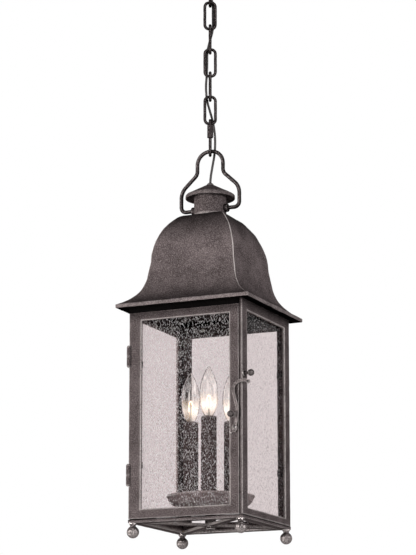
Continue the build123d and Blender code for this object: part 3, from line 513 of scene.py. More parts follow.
def brassFinish():
    # brass shell, a little uneven in tone
    material, pen, place = newFinish("brassBase")
    grain = noise(pen, place, 400.0, 4.0)
    colour = blendColours(pen, grain, (0.42, 0.30, 0.14, 1), (0.78, 0.62, 0.34, 1))
    shader = {"Base Color": colour, "Metallic": 1.0, "Roughness": 0.22 + 0.2 * grain}
    return finished(material, pen, pen.node("BsdfPrincipled", sockets=shader))


def paneFinish(look):
    # clear glass full of small seeds drawn out along its height: each is a dent with a pale core, a painted
    # highlight for the seed's glint, and a few larger flecks are darker, most so low down
    material, pen, place = newFinish("seededGlass")
    long = drawnOut(pen, place, look["stretch"])
    patchy = noise(pen, long, 40.0)
    size = look["size"] * rampUp(cellDraw(pen, long, look["seeds"]) + 0.3 * patchy, 0.4, 1.02)
    seed = rampUp(size - cells(pen, long, look["seeds"]), 0.0, 0.08)
    bump = pen.node("Bump", sockets={"Strength": look["bump"], "Distance": 0.0006, "Height": seed})
    short = drawnOut(pen, place, look["fleckStretch"])
    fleck = rampUp(look["fleckSize"] - cells(pen, short, look["flecks"]), 0.0, 0.08)
    fleck = fleck * rampUp(cellDraw(pen, short, look["flecks"]), 0.5, 0.56)
    fleck = fleck * (0.4 + 0.6 * rampUp(0 - heightOf(pen, place), 0.68, 0.92))
    clear = pen.node("BsdfPrincipled", sockets={
        "Base Color": blendColours(pen, fleck, look["tint"], look["fleck"]),
        "Roughness": 0.0, "IOR": look["bend"], "Transmission Weight": 1.0, "Normal": bump,
    })
    # painted highlight: each seed's pale core stands in for the light it catches
    glintCore = pen.node("BsdfPrincipled", sockets={"Base Color": look["glintCore"], "Roughness": 0.35, "Normal": bump})
    mixed = {0: seed * look["glintShare"], 1: clear, 2: glintCore}
    return finished(material, pen, pen.node("MixShader", sockets=mixed))


def bulbFinish(look):
    # thin clear glass, dark where it is seen along its wall, with the lamp's warm light caught in its lower
    # half and pale upright streaks above, painted reflections that glow
    material, pen, place = newFinish("bulbGlass")
    rise = (heightOf(pen, place) - look["low"]) / (look["high"] - look["low"])
    glow = (rampUp(rise, 0.05, 0.5) * (1 - rampUp(rise, 0.55, 1.0))).clamped()
    # painted reflections: pale upright streaks, given off as light, in the upper half
    paintedStreak = rampUp(noise(pen, drawnOut(pen, place, 0.05), 230.0, 1.0), 0.5, 0.68)
    paintedStreak = paintedStreak * rampUp(rise, 0.4, 1.0) * (1 - rampUp(rise, 1.3, 1.9))
    colour = blendColours(pen, paintedStreak, (0, 0, 0, 1), (1.0, 0.98, 0.96, 1))
    colour = blendColours(pen, glow, colour, blendColours(pen, glow, look["warm"], (1.0, 0.93, 0.82, 1)))
    clear = {"Roughness": 0.0, "IOR": look["bend"], "Transmission Weight": 1.0}
    lit = pen.node("BsdfPrincipled", sockets={
        **clear, "Base Color": (0.97, 0.965, 0.95, 1),
        "Emission Color": colour, "Emission Strength": look["strength"],
    })
    edge = pen.node("BsdfPrincipled", sockets={**clear, "Base Color": look["edge"]})
    grazing = rampUp(pen.node("LayerWeight", sockets={"Blend": 0.5}, out="Facing"), 0.5, 0.85)
    return finished(material, pen, pen.node("MixShader", sockets={0: grazing, 1: lit, 2: edge}))


def glowFinish(name, colour, strength):
    # a lit wire, a little uneven along its length, on an unlit glass post: the vertex mark says how lit
    material, pen, place = newFinish(name)
    wearShadeAndGlow = pen.node("Attribute", {"attribute_name": "wearShadeAndGlow"}, out="Fac")
    hot = blendColours(pen, noise(pen, place, 300.0), colour, (1.0, 0.86, 0.62, 1))
    return finished(material, pen, pen.node("BsdfPrincipled", sockets={
        "Base Color": blendColours(pen, wearShadeAndGlow, (0.55, 0.54, 0.52, 1), (0.8, 0.6, 0.35, 1)), "Roughness": 0.3,
        "Emission Color": blendColours(pen, wearShadeAndGlow, (0, 0, 0, 1), hot), "Emission Strength": strength,
    }))


def mouldedFinish(name, dark, light, rough):
    # moulded plastic or a cord's jacket: fine grain and small changes of tone
    material, pen, place = newFinish(name)
    grain = noise(pen, place, 700.0, 4.0)
    tone = 0.5 * grain + 0.5 * noise(pen, place, 60.0)
    bump = pen.node("Bump", sockets={"Strength": 0.25, "Distance": 0.0004, "Height": grain})
    return finished(material, pen, pen.node("BsdfPrincipled", sockets={
        "Base Color": blendColours(pen, tone, dark, light), "Roughness": rough + 0.2 * grain, "Normal": bump,
    }))


steel = steelFinish()
pane = paneFinish({
    "seeds": 1050.0, "stretch": 0.2, "size": 0.38, "bump": 0.05,
    "glintCore": (0.74, 0.71, 0.71, 1), "glintShare": 0.85,
    "flecks": 430.0, "fleckStretch": 0.42, "fleckSize": 0.36, "fleck": (0.52, 0.485, 0.485, 1),
    "tint": (0.815, 0.765, 0.767, 1), "bend": 1.06,
})
bulbGlass = bulbFinish({
    "low": -0.777, "high": -0.734, "warm": (1.0, 0.70, 0.40, 1), "strength": 0.25, "bend": 1.27,
    "edge": (0.16, 0.15, 0.15, 1),
})
filament = glowFinish("filamentGlow", (1.0, 0.60, 0.24, 1), 6.0)
brass = brassFinish()
socketPlastic = mouldedFinish("socketPlastic", (0.03, 0.028, 0.026, 1), (0.07, 0.066, 0.062, 1), 0.45)
cordJacket = mouldedFinish("cordJacket", (0.020, 0.017, 0.016, 1), (0.050, 0.043, 0.041, 1), 0.42)
print("finishes made")


view = {
    "place": (1.434, -3.196, -1.339), "yaw": 24.41, "pitch": 11.36,
    "lens": 140.33, "sensor": 36.0, "shift": (0.0121, 0.108),
}
cameraData = bpy.data.cameras.new("camera")
cameraData.lens = view["lens"]
cameraData.sensor_width = view["sensor"]
cameraData.shift_x, cameraData.shift_y = view["shift"]
camera = intoScene(bpy.data.objects.new("camera", cameraData))
camera.location = view["place"]
camera.rotation_euler = Euler((math.radians(90 + view["pitch"]), 0, math.radians(view["yaw"])))
bpy.context.scene.camera = camera
bpy.context.scene.view_settings.view_transform = "Standard"

lampSize = 0.9
lamps = {  # place, aim, watts, colour
    "keyLamp": ((-3.1, -3.3, -1.0), (0, 0, -0.65), 197.0, (1.0, 0.985, 0.975)),
    "fillLamp": ((3.6, -1.4, -0.5), (0, 0, -0.7), 86.0, (0.985, 0.985, 1.0)),
    "backLamp": ((-2.7, 2.8, 0.2), (0, 0, -0.6), 60.0, (1.0, 1.0, 1.0)),
}
for name, (place, aim, watts, colour) in lamps.items():
    lampData = bpy.data.lights.new(name, "AREA")
    lampData.size = lampSize
    lampData.energy = watts
    lampData.color = colour
    lamp = intoScene(bpy.data.objects.new(name, lampData))
    lamp.location = place
    lamp.rotation_euler = (Vector(aim) - lamp.location).to_track_quat("-Z", "Y").to_euler()
    lamp.visible_transmission = False


def whiteWhereSeen(pen):
    # 1 on rays from the camera, on reflections and through glass
    seen = pen.node("LightPath", out="Is Camera Ray") + pen.node("LightPath", out="Is Glossy Ray")
    return (seen + pen.node("LightPath", out="Is Transmission Ray")).clamped()


studio = {"level": 0.30, "above": 0.08, "below": 0.05}  # light from the side, from above and from below
world = bpy.data.worlds.new("studio")
bpy.context.scene.world = world
world.use_nodes = True
world.node_tree.nodes.clear()
sky = Wire(world.node_tree)
upward = heightOf(sky, sky.node("TexCoord", out="Generated"))
lightAbove = studio["level"] + (studio["above"] - studio["level"]) * rampUp(upward, 0.1, 0.8)
lightLevel = lightAbove + (studio["below"] - studio["level"]) * rampUp(0 - upward, 0.0, 0.6)
seen = whiteWhereSeen(sky)
backdrop = sky.node("Background", sockets={"Color": (1, 1, 1, 1), "Strength": lightLevel * (1 - seen) + seen})
sky.node("OutputWorld", sockets={"Surface": backdrop})

floor = {"level": -5200, "half": 14000, "lift": 0.78}  # lift: how far it is raised to the white behind it
span = np.linspace(-floor["half"], floor["half"], 7)
across, along = np.meshgrid(span, span)
floorPatch = patch(np.stack([across, along, np.full_like(across, floor["level"])], -1), wrapCols=False)
floorMesh = bpy.data.meshes.new("floor")
floorMesh.from_pydata((floorPatch[0] * mm).tolist(), [], floorPatch[1].tolist())
floorFinish, pen, place = newFinish("paleFloor")
paint = pen.node("BsdfPrincipled", sockets={
    "Base Color": blendColours(pen, noise(pen, place, 6.0), (0.80, 0.80, 0.80, 1), (0.86, 0.86, 0.855, 1)),
    "Roughness": 0.8,
})
lift = pen.node("Emission", sockets={"Color": (1, 1, 1, 1), "Strength": floor["lift"] * whiteWhereSeen(pen)})
floorMesh.materials.append(finished(floorFinish, pen, pen.node("AddShader", sockets={0: paint, 1: lift})))
floorPiece = intoScene(bpy.data.objects.new("floor", floorMesh))
print("camera, lamps and floor set")

linkTurn = math.radians(24.6)  # the first link's turn from the door's front
side = np.array([math.cos(linkTurn), math.sin(linkTurn), 0])  # across the first link
away = np.array([-side[1], side[0], 0])


def inPlane(line, first):
    # points given across and up, set in the upright plane that holds first
    return line[:, :1] * first + line[:, 1:] * np.array([0, 0, 1])


def bentRod(outline, wire, plane, across, lines=1, steps=24, closed=False):
    # a round rod along an outline that lies in the plane
    path = inPlane(finer(*outline, 3.0, closed)[0], plane)
    return carried(path, circleOf(wire, steps), across, closed, rodRubAndShade(steps, lines))


# ceiling fitting: spun canopy, collar and the loop that carries the chain
ceiling = {"bore": 5.1, "wire": 2.5, "loopHalf": 9.0, "loopLow": -58.7, "loopBend": 7.5}
bore = ceiling["bore"]
canopyOut = np.concatenate([[(bore, -22), (22, -22)], arcThrough((34, -18.6), (53, -13.4), (63.5, 0), 18)])
canopyIn = np.concatenate([arcThrough((62.3, 0), (52, -12.2), (34, -17.4), 18), [(22, -20.8), (bore, -20.8)]])
canopySoft = np.zeros(len(canopyOut) + len(canopyIn))
canopySoft[[1, 2, len(canopyOut) - 1, len(canopyOut)]] = (6, 3, 0.4, 0.4)
canopyShell = lathe(np.concatenate([canopyOut, canopyIn]), canopySoft, step=3.0, steps=96)
addPiece("canopy", "ceiling_canopy", bronze, [canopyShell], [(0.12, 16)], body="ceiling_mount")
collarRing = lathe([(bore, -22), (11, -22), (11, -28), (bore, -28)], (0, 1.2, 1.2, 0), 1.5, 48)
addPiece("canopyCollar", "canopy_collar", bronze, [collarRing], [(0.05, 6)], body="ceiling_mount")
hub = lathe([(bore, -28), (12.5, -28), (12.5, -35), (bore, -35)], (0, 1.4, 1.4, 0), 1.5, 48, rub=0.15)
half, low = ceiling["loopHalf"], ceiling["loopLow"]
bowLine = bentLine([(-half, -33), (-half, low), (half, low), (half, -33)], ceiling["loopBend"], 8)
bow = bentRod(bowLine, ceiling["wire"], away, side, steps=18)
addPiece("canopyLoop", "canopy_loop", forged, [hub, bow], [(0.08, 9)], body="ceiling_mount")

# chain of five links, each a quarter turn from the last
chain = {"half": 8.9, "high": 23.6, "bend": 7.4, "wire": 2.5, "pitch": 41.9, "firstMid": -77.0, "count": 5}
linkMiddles = [chain["firstMid"] - k * chain["pitch"] for k in range(chain["count"])]
linkBodies = [f"link_{k + 1}" for k in range(chain["count"])]
for k, middle in enumerate(linkMiddles):
    half, low, high = chain["half"], middle - chain["high"], middle + chain["high"]
    ring = bentLine([(-half, low), (half, low), (half, high), (-half, high)], chain["bend"], 7, True)
    plane, across = ((side, away), (away, side))[k % 2]
    link = bentRod(ring, chain["wire"], plane, across, 2, closed=True)
    addPiece(f"chainLink{k + 1}", f"chain_link_{k + 1}", forged, [link], [(0.12, 8)], body=linkBodies[k])

# quick link: an open bow, and the threaded sleeve over its gap
quick = {"half": 9.5, "top": -262.9, "low": -322.8, "gap": (-277.0, -284.0), "bend": 8.0, "wire": 2.5}
half, low, top = quick["half"], quick["low"], quick["top"]
gapTop, gapLow = quick["gap"]
quickCorners = [(-half, gapLow), (-half, low), (half, low), (half, top), (-half, top), (-half, gapTop)]
quickBow = bentRod(bentLine(quickCorners, quick["bend"], 8), quick["wire"], away, side, 2)
addPiece("quickLink", "quick_link", forged, [quickBow], [(0.08, 9)], body="quick")
sleeve = {"flat": 9.6, "bore": 2.55, "low": -295.3, "high": -273.5, "soft": 0.6}
sleeveAt = (away * -quick["half"])[:2]
sleeveTube = hexTube(sleeve["flat"], sleeve["bore"], sleeve["low"], sleeve["high"], sleeve["soft"], sleeveAt)
sleeveTube[2][:] = 0.3 * sleeveTube[2] - 0.45  # darker all over, a little less at its edges
addPiece("quickSleeve", "quick_link_sleeve", forged, [sleeveTube], sharp=35, body="sleeve")

# cord: woven down through the chain, cut in the middle of each link
cord = {
    "radius": 2.0,
    "way": [  # across the first link, away from the door, height
        (0, 0, -30), (0, 0, -38), (4.9, 5.4, -53), (4.7, 5.3, -76), (5.1, 5.2, -101), (-0.2, 2.2, -120),
        (-5.2, 5.2, -140), (-4.8, 5.3, -161), (-5.8, 5.2, -183), (-7.4, 3.8, -203), (-5.6, 5.4, -226),
        (0.4, 5.6, -247), (5.8, 5.4, -267), (8.6, 4.2, -292), (8.0, 3.5, -318), (3.3, 1.3, -345),
        (0, 0, -366), (0, 0, -380),
    ],
    "cuts": [*linkMiddles, (quick["top"] + quick["low"]) / 2, -345.0],
    "bodies": ["ceiling_mount", *linkBodies, "quick", "bail_body", "lantern"],
}
routeCurve = bpy.data.curves.new("cordRoute", "CURVE")
routeCurve.dimensions = "3D"
routeCurve.resolution_u = 24
route = routeCurve.splines.new("NURBS")
route.points.add(len(cord["way"]) - 1)
for point, (across, back, height) in zip(route.points, cord["way"]):
    point.co = (*((across * side + back * away + (0, 0, height)) * mm), 1)
route.order_u = 3
route.use_endpoint_u = True
routeHolder = bpy.data.objects.new("cordRoute", routeCurve)
routeMesh = bpy.data.meshes.new_from_object(routeHolder)
line = np.empty(len(routeMesh.vertices) * 3)
routeMesh.vertices.foreach_get("co", line)
line = line.reshape(-1, 3) / mm
bpy.data.objects.remove(routeHolder)
heights = [line[0, 2]] + cord["cuts"] + [line[-1, 2]]
for k, (high, low) in enumerate(zip(heights[:-1], heights[1:])):
    ends = [[np.interp(-z, -line[:, 2], line[:, axis]) for axis in range(3)] for z in (high, low)]
    inside = line[(line[:, 2] < high - 0.4) & (line[:, 2] > low + 0.4)]
    stretch = np.concatenate([ends[:1], inside, ends[1:]])
    tube = carried(stretch, circleOf(cord["radius"], 16), side)
    piece = addPiece(
        f"cordStretch{k + 1}", f"cord_stretch_{k + 1}", cordJacket, [tube],
        body=cord["bodies"][k + 1])
    piece.parent = None  # taken off its body again
    cord["bodies"][k + 1]
    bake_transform(piece)
    2 * cord["radius"] * mm
print("cord made")

# bail: one bent rod with its ends turned into the lugs
bail = {
    "rod": 3.25,
    "half": [(29, -417.5), (53, -417.5), (53, -382.2), (23.4, -354.65), (23.4, -316.75)],
    "bends": [0, 9, 26, 14, 21.9],
}
bailCorners = np.array(bail["half"] + [(-x, z) for x, z in bail["half"][::-1]])
bailLine = finer(*bentLine(bailCorners, bail["bends"] + bail["bends"][::-1], 12), 3.0)[0]
bailPath = np.stack([bailLine[:, 0], 0 * bailLine[:, 0], bailLine[:, 1]], -1)
bailRod = carried(bailPath, circleOf(bail["rod"], 24), (0, 1, 0), wearShadeAndGlow=rodRubAndShade(24))
addPiece("bail", "bail", forged, [bailRod], [(0.1, 12)], body="bail_body")

# head: lugs for the bail, neck, cap and the bushing where the cord goes in
head = {"pivot": -417.5, "roofTop": -432.0, "neck": 27.0, "sheet": 1.6}
lugs = [
    lathe([(0, 28.6), (3.3, 28.6), (3.3, 33), (7, 33), (7, 25.6), (0, 25.6)], (0, 0, 0.3, 1.3, 0, 0), 1.5, 40,
          (0, 0, head["pivot"]), (way, 0, 0), False, 0.1)
    for way in (-1, 1)
]
addPiece("bailLugs", "bail_lugs", forged, lugs, [(0.05, 6)])
neckIn = head["neck"] - head["sheet"]
neckTube = lathe(
    [(head["neck"], -388.3), (head["neck"], -429.6), (29.2, head["roofTop"]), (neckIn, head["roofTop"]),
     (neckIn, -388.3)],
    (0.3, 4, 0.5, 0, 0.3), 2.5, 96)
addPiece("neck", "neck", bronze, [neckTube], [(0.15, 14)])
capShell = lathe(
    [(5.1, -375.74), (7, -375.74), (41.4, -393.6), (41.4, -399.4), (39.8, -399.4), (39.8, -395.2),
     (7, -377.58), (5.1, -377.58)],
    (0, 2, 3, 0.6, 0.6, 1.2, 0, 0), 2.5, 96, rub=0.12)
addPiece("cap", "cap", bronze, [capShell], [(0.15, 14)])
bushing = np.concatenate([[(2.3, -375.74)], arcThrough((6.6, -375.74), (4.6, -372.95), (2.3, -371.24), 8)])
addPiece("cordBushing", "cord_bushing", forged, [turned(bushing, 0.4, 32)])
print("chain and head made")

# roof: a hollow square bell with slightly rounded hips, a lip at the eave and a skirt inside the frames
roof = {
    "top": head["roofTop"], "topHalf": 34.4, "eave": 117.5, "low": -598.0, "lip": 115.3, "skin": 2.2,
    "hole": 14.0, "hip": 1.5, "step": 2.6,
}


def bellLine(inset, drop):
    # the wall's section from the flat top down to the eave, set in by inset
    start = (roof["topHalf"] - 0.6 * inset, roof["top"] - drop)
    wall = arcThrough((49 - inset, -443.2 - 0.8 * drop), (61.5 - inset, -463.5), (74.3 - inset, -516), 6)
    swell = throughPoints([start, (42.6 - inset, -437.0 - 0.9 * drop), *(wall[1:] + (0.2, 0))], 6)[1:]
    flare = arcFrom((79.3 - inset, -545), (5, -29), (roof["eave"] - inset, -592), 24)
    return np.concatenate([[start], swell, flare])


bellOut, bellIn = bellLine(0, 0), bellLine(roof["skin"], roof["skin"])
eave = [
    (roof["eave"], roof["low"]), (roof["lip"], roof["low"]), (roof["lip"], -596), (94.4, -596),
    (94.4, -607.5), (92.4, -607.5), (92.4, -593.8), (roof["lip"], -593.8),
]
roofTop, roofUnder = [(roof["hole"], roof["top"])], [(roof["hole"], bellIn[0, 1])]
roofLine = np.concatenate([roofTop, bellOut, eave, bellIn[::-1], roofUnder])
roofSoft = np.zeros(len(roofLine))
roofSoft[[1, len(bellOut), len(bellOut) + 1]] = (1.5, 1.3, 0.9)
roofRows, roofWear = finer(*bentLine(roofLine, roofSoft, 4, True), roof["step"], True)
rings, hipWear = squareRings(roofRows[:, 0], roof["hip"])
flatTop = (roofRows[:, 1] > roof["top"] - 1.2 * roof["skin"]) & (roofRows[:, 0] < roof["topHalf"] - 1.5)
square = np.where(flatTop, np.clip((roofRows[:, 0] - roof["hole"]) / 12, 0, 1), 1)[:, None, None]
circles = rings / np.linalg.norm(rings, axis=-1, keepdims=True) * roofRows[:, :1, None]
plan = square * rings + (1 - square) * circles
roofPoints = np.concatenate([plan, np.broadcast_to(roofRows[:, 1][:, None, None], plan.shape[:2] + (1,))], -1)
outside = np.arange(len(roofRows)) < np.argmin(np.abs(roofRows - (116.4, roof["low"])).sum(1))
hipsShow = outside & (roofRows[:, 1] < roof["top"] - 1)
hipFade = np.interp(roofRows[:, 1], (-600, -575, -545, -450, -433), (0.4, 0.5, 1.7, 1.7, 0.5)) * hipsShow
eaveRub = roofWear * (outside & (roofRows[:, 1] < -585)) * 0.15
# painted shade: the flat top and the upturned flare, which face up and away from the lamps, are painted
# darker than the upright middle; hips and eave edge stay rubbed lighter
roofPaintedShadeAt = (-598, -592, -572, -535, -505, -485, -446, -433)
roofPaintedShade = np.interp(roofRows[:, 1], roofPaintedShadeAt, (0.68, 0.66, 0.32, 0.12, 0, 0, 0.62, 0.85))
alongEave = eaveRub - roofPaintedShade * (eaveRub == 0)
alongHips = hipWear[None] * (hipFade + roofPaintedShade)[:, None] - roofPaintedShade[:, None]
roofMarks = np.maximum(alongEave[:, None], alongHips)
# painted shade: the soffit under the eave is painted near black and the roof's whole inside dark
roofMarks = np.where(outside[:, None], roofMarks, np.where(roofRows[:, :1] > 100, -1.0, -0.75))
roofShell = patch(roofPoints, wrapRows=True, wearShadeAndGlow=roofMarks)
addPiece("roof", "roof_shell", hammered, [roofShell], [(0.35, 30), (0.1, 8)])
print("roof made")

# cage: frames of flat bar, the header over the door and the base ring
cage = {
    "half": 100.0, "bar": 5.5, "top": -596.0, "low": -942.8, "open": (-78.7, -931, 78.7, -613.5),
    "baseHalf": 82.0, "under": -948.3, "dents": [(0.12, 18)],
}
half, inner = cage["half"], cage["half"] - cage["bar"]
barDepth = (-half, -inner)
leftPlace = lambda across, up, deep: np.stack([deep, across, up], -1)
rightPlace = lambda across, up, deep: np.stack([-deep, across, up], -1)
backPlace = lambda across, up, deep: np.stack([across, -deep, up], -1)
frontPlace = lambda across, up, deep: np.stack([across, deep, up], -1)
flatPlace = lambda across, up, deep: np.stack([across, up, deep], -1)
frames = {
    "leftFrame": ("left_frame", (-94.2, cage["low"], half, cage["top"]), leftPlace, 1.4),
    "rightFrame": ("right_frame", (-half, cage["low"], half, cage["top"]), rightPlace, 1.8),
    "backFrame": ("back_frame", (-inner, cage["low"], inner, cage["top"]), backPlace, 0.7),
}
for name, (node, outer, place, edge) in frames.items():
    bars = barFrame(outer, cage["open"], barDepth, place, edge=edge)
    bars[2][:] -= np.interp(bars[0][:, 2], (-614, -598), (0, 0.75))  # shade under the eave
    addPiece(name, node, bronze, [bars], cage["dents"])
header = roundedBox((-half, -half, -605), (inner, -inner, cage["top"]), 0.7)
header[2][:] = -1.0  # always in the eave's shade
addPiece("frontHeader", "front_header", bronze, [header], [(0.08, 14)])
square = np.array([-1, -1, 1, 1])
baseRing = barFrame(square * half, square * cage["baseHalf"], (cage["under"], cage["low"]), flatPlace)
addPiece("baseFrame", "base_frame", bronze, [baseRing], cage["dents"])

# braces: two flat bars between the inner corners of the base ring, pointed to fit and halved where they cross
brace = {
    "reach": cage["baseHalf"] * math.sqrt(2), "wide": 15.0, "low": cage["under"], "thick": 4.0, "notch": 7.55,
    "soft": 0.6,
}
braceSection, braceWorn = finer(*barOf(brace["wide"], brace["thick"], brace["soft"]), 1.5, True)
wing = np.linspace(brace["notch"] + 0.3, brace["reach"] - brace["wide"] / 2 - 0.5, 30)
braceRows = np.r_[-wing[::-1], -brace["notch"], brace["notch"], wing][:, None] + 0 * braceSection[None, :, 0]
braceTip = (brace["reach"] - np.abs(braceSection[:, 0]))[None]
braceAlong = np.concatenate([-braceTip, braceRows, braceTip])
braceCut = np.where(np.abs(braceAlong) <= brace["notch"], 0.5, 1.0)
for name, node, turn, high in (("braceLower", "brace_lower", 45, 0), ("braceUpper", "brace_upper", 135, 1)):
    share = braceSection[None, :, 1] / brace["thick"] + 0.5
    level = brace["low"] + brace["thick"] * (share * braceCut + high * (1 - braceCut))
    over = braceSection[None, :, 0] + 0 * braceAlong
    far = np.array([math.cos(math.radians(turn)), math.sin(math.radians(turn))])
    spots = braceAlong[..., None] * far + over[..., None] * np.array([-far[1], far[0]])
    spots = np.concatenate([spots, level[..., None]], -1)
    barGrid = patch(closedEnds(spots), wearShadeAndGlow=0.8 * braceWorn[None])
    addPiece(name, node, bronze, [barGrid], [(0.08, 16)])

# feet: flange, neck and ball, screwed up into the base ring
foot = {"at": 94.0, "ball": 9.9, "centre": -962.6, "neck": 4.6, "flange": 6.4, "under": cage["under"]}
footBall = ballOn(foot["neck"], foot["ball"], 0, 18) * (1, -1) + (0, foot["centre"])
footTop = [(0, -944.2), (3, -944.2), (3, foot["under"] + 0.02), (foot["flange"], foot["under"] + 0.02)]
footTop += [(foot["flange"], -950.3), (foot["neck"], -951.5)]
footLine = np.concatenate([footTop, footBall])
footWear = np.r_[0, 0, 0, 1, 1, 0, np.zeros(6), np.full(len(footBall) - 6, 0.35)]
footSpots = [(x, y, 0) for x in (-foot["at"], foot["at"]) for y in (-foot["at"], foot["at"])]
feet = [turned(footLine, footWear, 40, spot, wrap=False) for spot in footSpots]
addPiece("ballFeet", "ball_feet", footBronze, feet, [(0.08, 7)])
print("cage made")

# panes of seeded glass, faintly wavy
glass = {
    "depth": (-inner, -inner + 3.0), "side": (-83.7, -936, 83.7, -608.3), "door": (-83, -931.7, 82.5, -614),
    "waves": [(0.02, 40), (0.006, 9)],
}
panes = {
    "paneLeft": ("pane_left", "side", leftPlace, "lantern"),
    "paneRight": ("pane_right", "side", rightPlace, "lantern"),
    "paneBack": ("pane_back", "side", backPlace, "lantern"),
    "doorPane": ("door_pane", "door", frontPlace, "door"),
}
for name, (node, outline, place, body) in panes.items():
    sheet = slab(glass[outline], glass["depth"], place)
    addPiece(name, node, pane, sheet, glass["waves"], body=body)
print("panes made")

# door frame, scooped beside the hinge barrels, with the knuckles that turn with it
hinge = {
    "at": (-100.3, -100.3), "knuckle": 3.25, "high": 16.4, "tops": (-660.6, -854.6), "pin": 1.55,
    "bore": 1.6, "gap": 0.3,
}
scoops = [(top + 2, top - 2 * hinge["high"] - hinge["gap"] - 2) for top in hinge["tops"]]
scoopEnds = [z for high, low in scoops for z in (high, low)]
scoopStops = [z + step for z in scoopEnds for step in (0.02, -0.02)]
door = {"outer": (-99.7, -942, 94, -605.5), "open": (-78, -926.7, 77.5, -619)}
doorPoints, doorFaces, doorWearAndShade = barFrame(
    door["outer"], door["open"], barDepth, frontPlace, edge=0.9, stops=scoopStops)
clearOf = hinge["knuckle"] + hinge["gap"]
reach = np.sqrt(np.clip(clearOf**2 - (doorPoints[:, 1] - hinge["at"][1]) ** 2, 0, None))
beside = sum(((doorPoints[:, 2] < high) & (doorPoints[:, 2] > low)).astype(int) for high, low in scoops) > 0
scooped = np.maximum(doorPoints[:, 0], hinge["at"][0] + reach)
doorPoints[:, 0] = np.where(beside & (reach > 0), scooped, doorPoints[:, 0])
# painted shadow of the eave: the door's top rail is painted darker towards its top
doorWearAndShade = doorWearAndShade - 0.6 * np.interp(doorPoints[:, 2], (-621, -606), (0, 1))
doorBars = (doorPoints, doorFaces, doorWearAndShade)
addPiece("doorFrame", "door_frame", bronze, [doorBars], cage["dents"], body="door")


def barrel(high, low):
    # a hinge knuckle: a short tube with softened rims
    corners = [(hinge["bore"], high), (hinge["knuckle"], high), (hinge["knuckle"], low), (hinge["bore"], low)]
    return lathe(corners, (0, 0.5, 0.5, 0), 2.0, 32, (*hinge["at"], 0))


upperBarrels = [barrel(top, top - hinge["high"]) for top in hinge["tops"]]
addPiece("hingeDoorKnuckles", "hinge_door_knuckles", bronze, upperBarrels, body="door")
lowerBarrels, pins = [], []
rivet = [(0, -101.5), (1.9, -101.5), (1.6, -102.0), (0, -102.2)]
pinEnd = [(0, 1.9), (1.4, 1.7), (2.3, 0.9), (2.5, 0.2), (hinge["pin"], 0.2)]
pinWear = (0.5, 1, 1, 0.5, 0, 0, 0.5, 1, 1, 0.5)
for top in hinge["tops"]:
    high, low = top - hinge["high"] - hinge["gap"], top - 2 * hinge["high"] - hinge["gap"]
    lowerBarrels += [barrel(high, low), roundedBox((-101.5, -98.6, low), (-100, -79, high), 0.5, 3.0)]
    for y in (-91, -84):
        lowerBarrels.append(turned(rivet, (0, 0, 1, 0.6), 16, (0, y, (high + low) / 2), (1, 0, 0), False))
    pinLine = [(radius, top + z) for radius, z in pinEnd] + [(radius, low - z) for radius, z in pinEnd[::-1]]
    pins.append(turned(pinLine, pinWear, 24, (*hinge["at"], 0), wrap=False))
addPiece("hingeFrameKnuckles", "hinge_frame_knuckles", bronze, lowerBarrels)
addPiece("hingePins", "hinge_pins", forged, pins)

# latch: a curved strap on a pivot screw, with a knob to turn it by and a ball catch on the right frame
latch = {
    "pivot": (88, -806.5), "back": -101.5, "front": -103.5, "wide": 4.6, "thick": 2.0,
    "knob": (83.8, -785), "knobBall": 5.2,
    "way": [
        (-1.4, -7), (0, 0), (3.2, 14.5), (4.2, 30.5), (0.2, 48.5), (-2.6, 60.5), (0.5, 69.5), (8, 74.3),
        (17, 75.1), (24, 73.3),
    ],
}
strapMiddle = (latch["back"] + latch["front"]) / 2
strapLine = throughPoints(np.array(latch["way"]) + latch["pivot"], 8)
strapPath = np.stack([strapLine[:, 0], np.full(len(strapLine), strapMiddle), strapLine[:, 1]], -1)
strapSection, strapWorn = finer(*barOf(latch["thick"], latch["wide"], 0.5), 0.5, True)
strap = carried(strapPath, strapSection, (0, 1, 0), wearShadeAndGlow=0.55 * strapWorn[None])


def onDoor(line, wearShadeAndGlow, across, up, steps=32):
    # a turned piece that stands out from the door's front
    return turned(line, wearShadeAndGlow, steps, (across, 0, up), (0, -1, 0), False)


def disc(across, up, radius):
    # a round plate as thick as the strap, facing the door's front
    back, front = -latch["back"], -latch["front"]
    corners = [(0, back), (radius, back), (radius, front), (0, front)]
    return lathe(corners, (0, 0.4, 0.4, 0), 1.5, 32, (across, 0, up), (0, -1, 0), False)


pivotX, pivotZ = latch["pivot"]
knobX, knobZ = latch["knob"]
webPath = np.array([(knobX, strapMiddle, knobZ), (pivotX + 3.4, strapMiddle, pivotZ + 20.5)])
web = carried(np.linspace(*webPath, 6), barOf(latch["thick"] - 0.1, 8.0, 0.5)[0], (0, 1, 0), wearShadeAndGlow=0.2)
plates = [
    strap, web, disc(pivotX, pivotZ, 5.0), disc(knobX + 0.6, knobZ, 4.4),
    disc(pivotX + 24, pivotZ + 72.7, 3.1),
]
addPiece("latchHook", "latch_hook", rubbedAndLitStrap, plates, body="latch")
knobLine = np.concatenate([[(0, 103.3), (3, 103.3), (3, 105.2)], ballOn(2.4, latch["knobBall"], 109.9, 14)])
knob = onDoor(knobLine, np.r_[0, 1, 0.4, np.full(14, 0.12)], knobX, knobZ)
addPiece("latchKnob", "latch_knob", forged, [knob], body="latch")
screwLine = [(0, 96.5), (2, 96.5), (2, 100), (4.4, 100), (4.4, 101.3), (2, 101.3), (2, 103.7)]
screwLine += [(3.8, 103.7), (3.5, 104.6), (2.4, 105.4), (0, 105.7)]
screw = onDoor(screwLine, (0, 0, 0, 0, 0.5, 0, 0, 0.8, 1, 0.5, 0.2), pivotX, pivotZ)
pegLine = [(0, 99), (1.4, 99), (1.4, 103.1), (1.1, 103.5), (0, 103.5)]
peg = onDoor(pegLine, (0, 0, 0, 1, 0.4), 82, -814, 20)
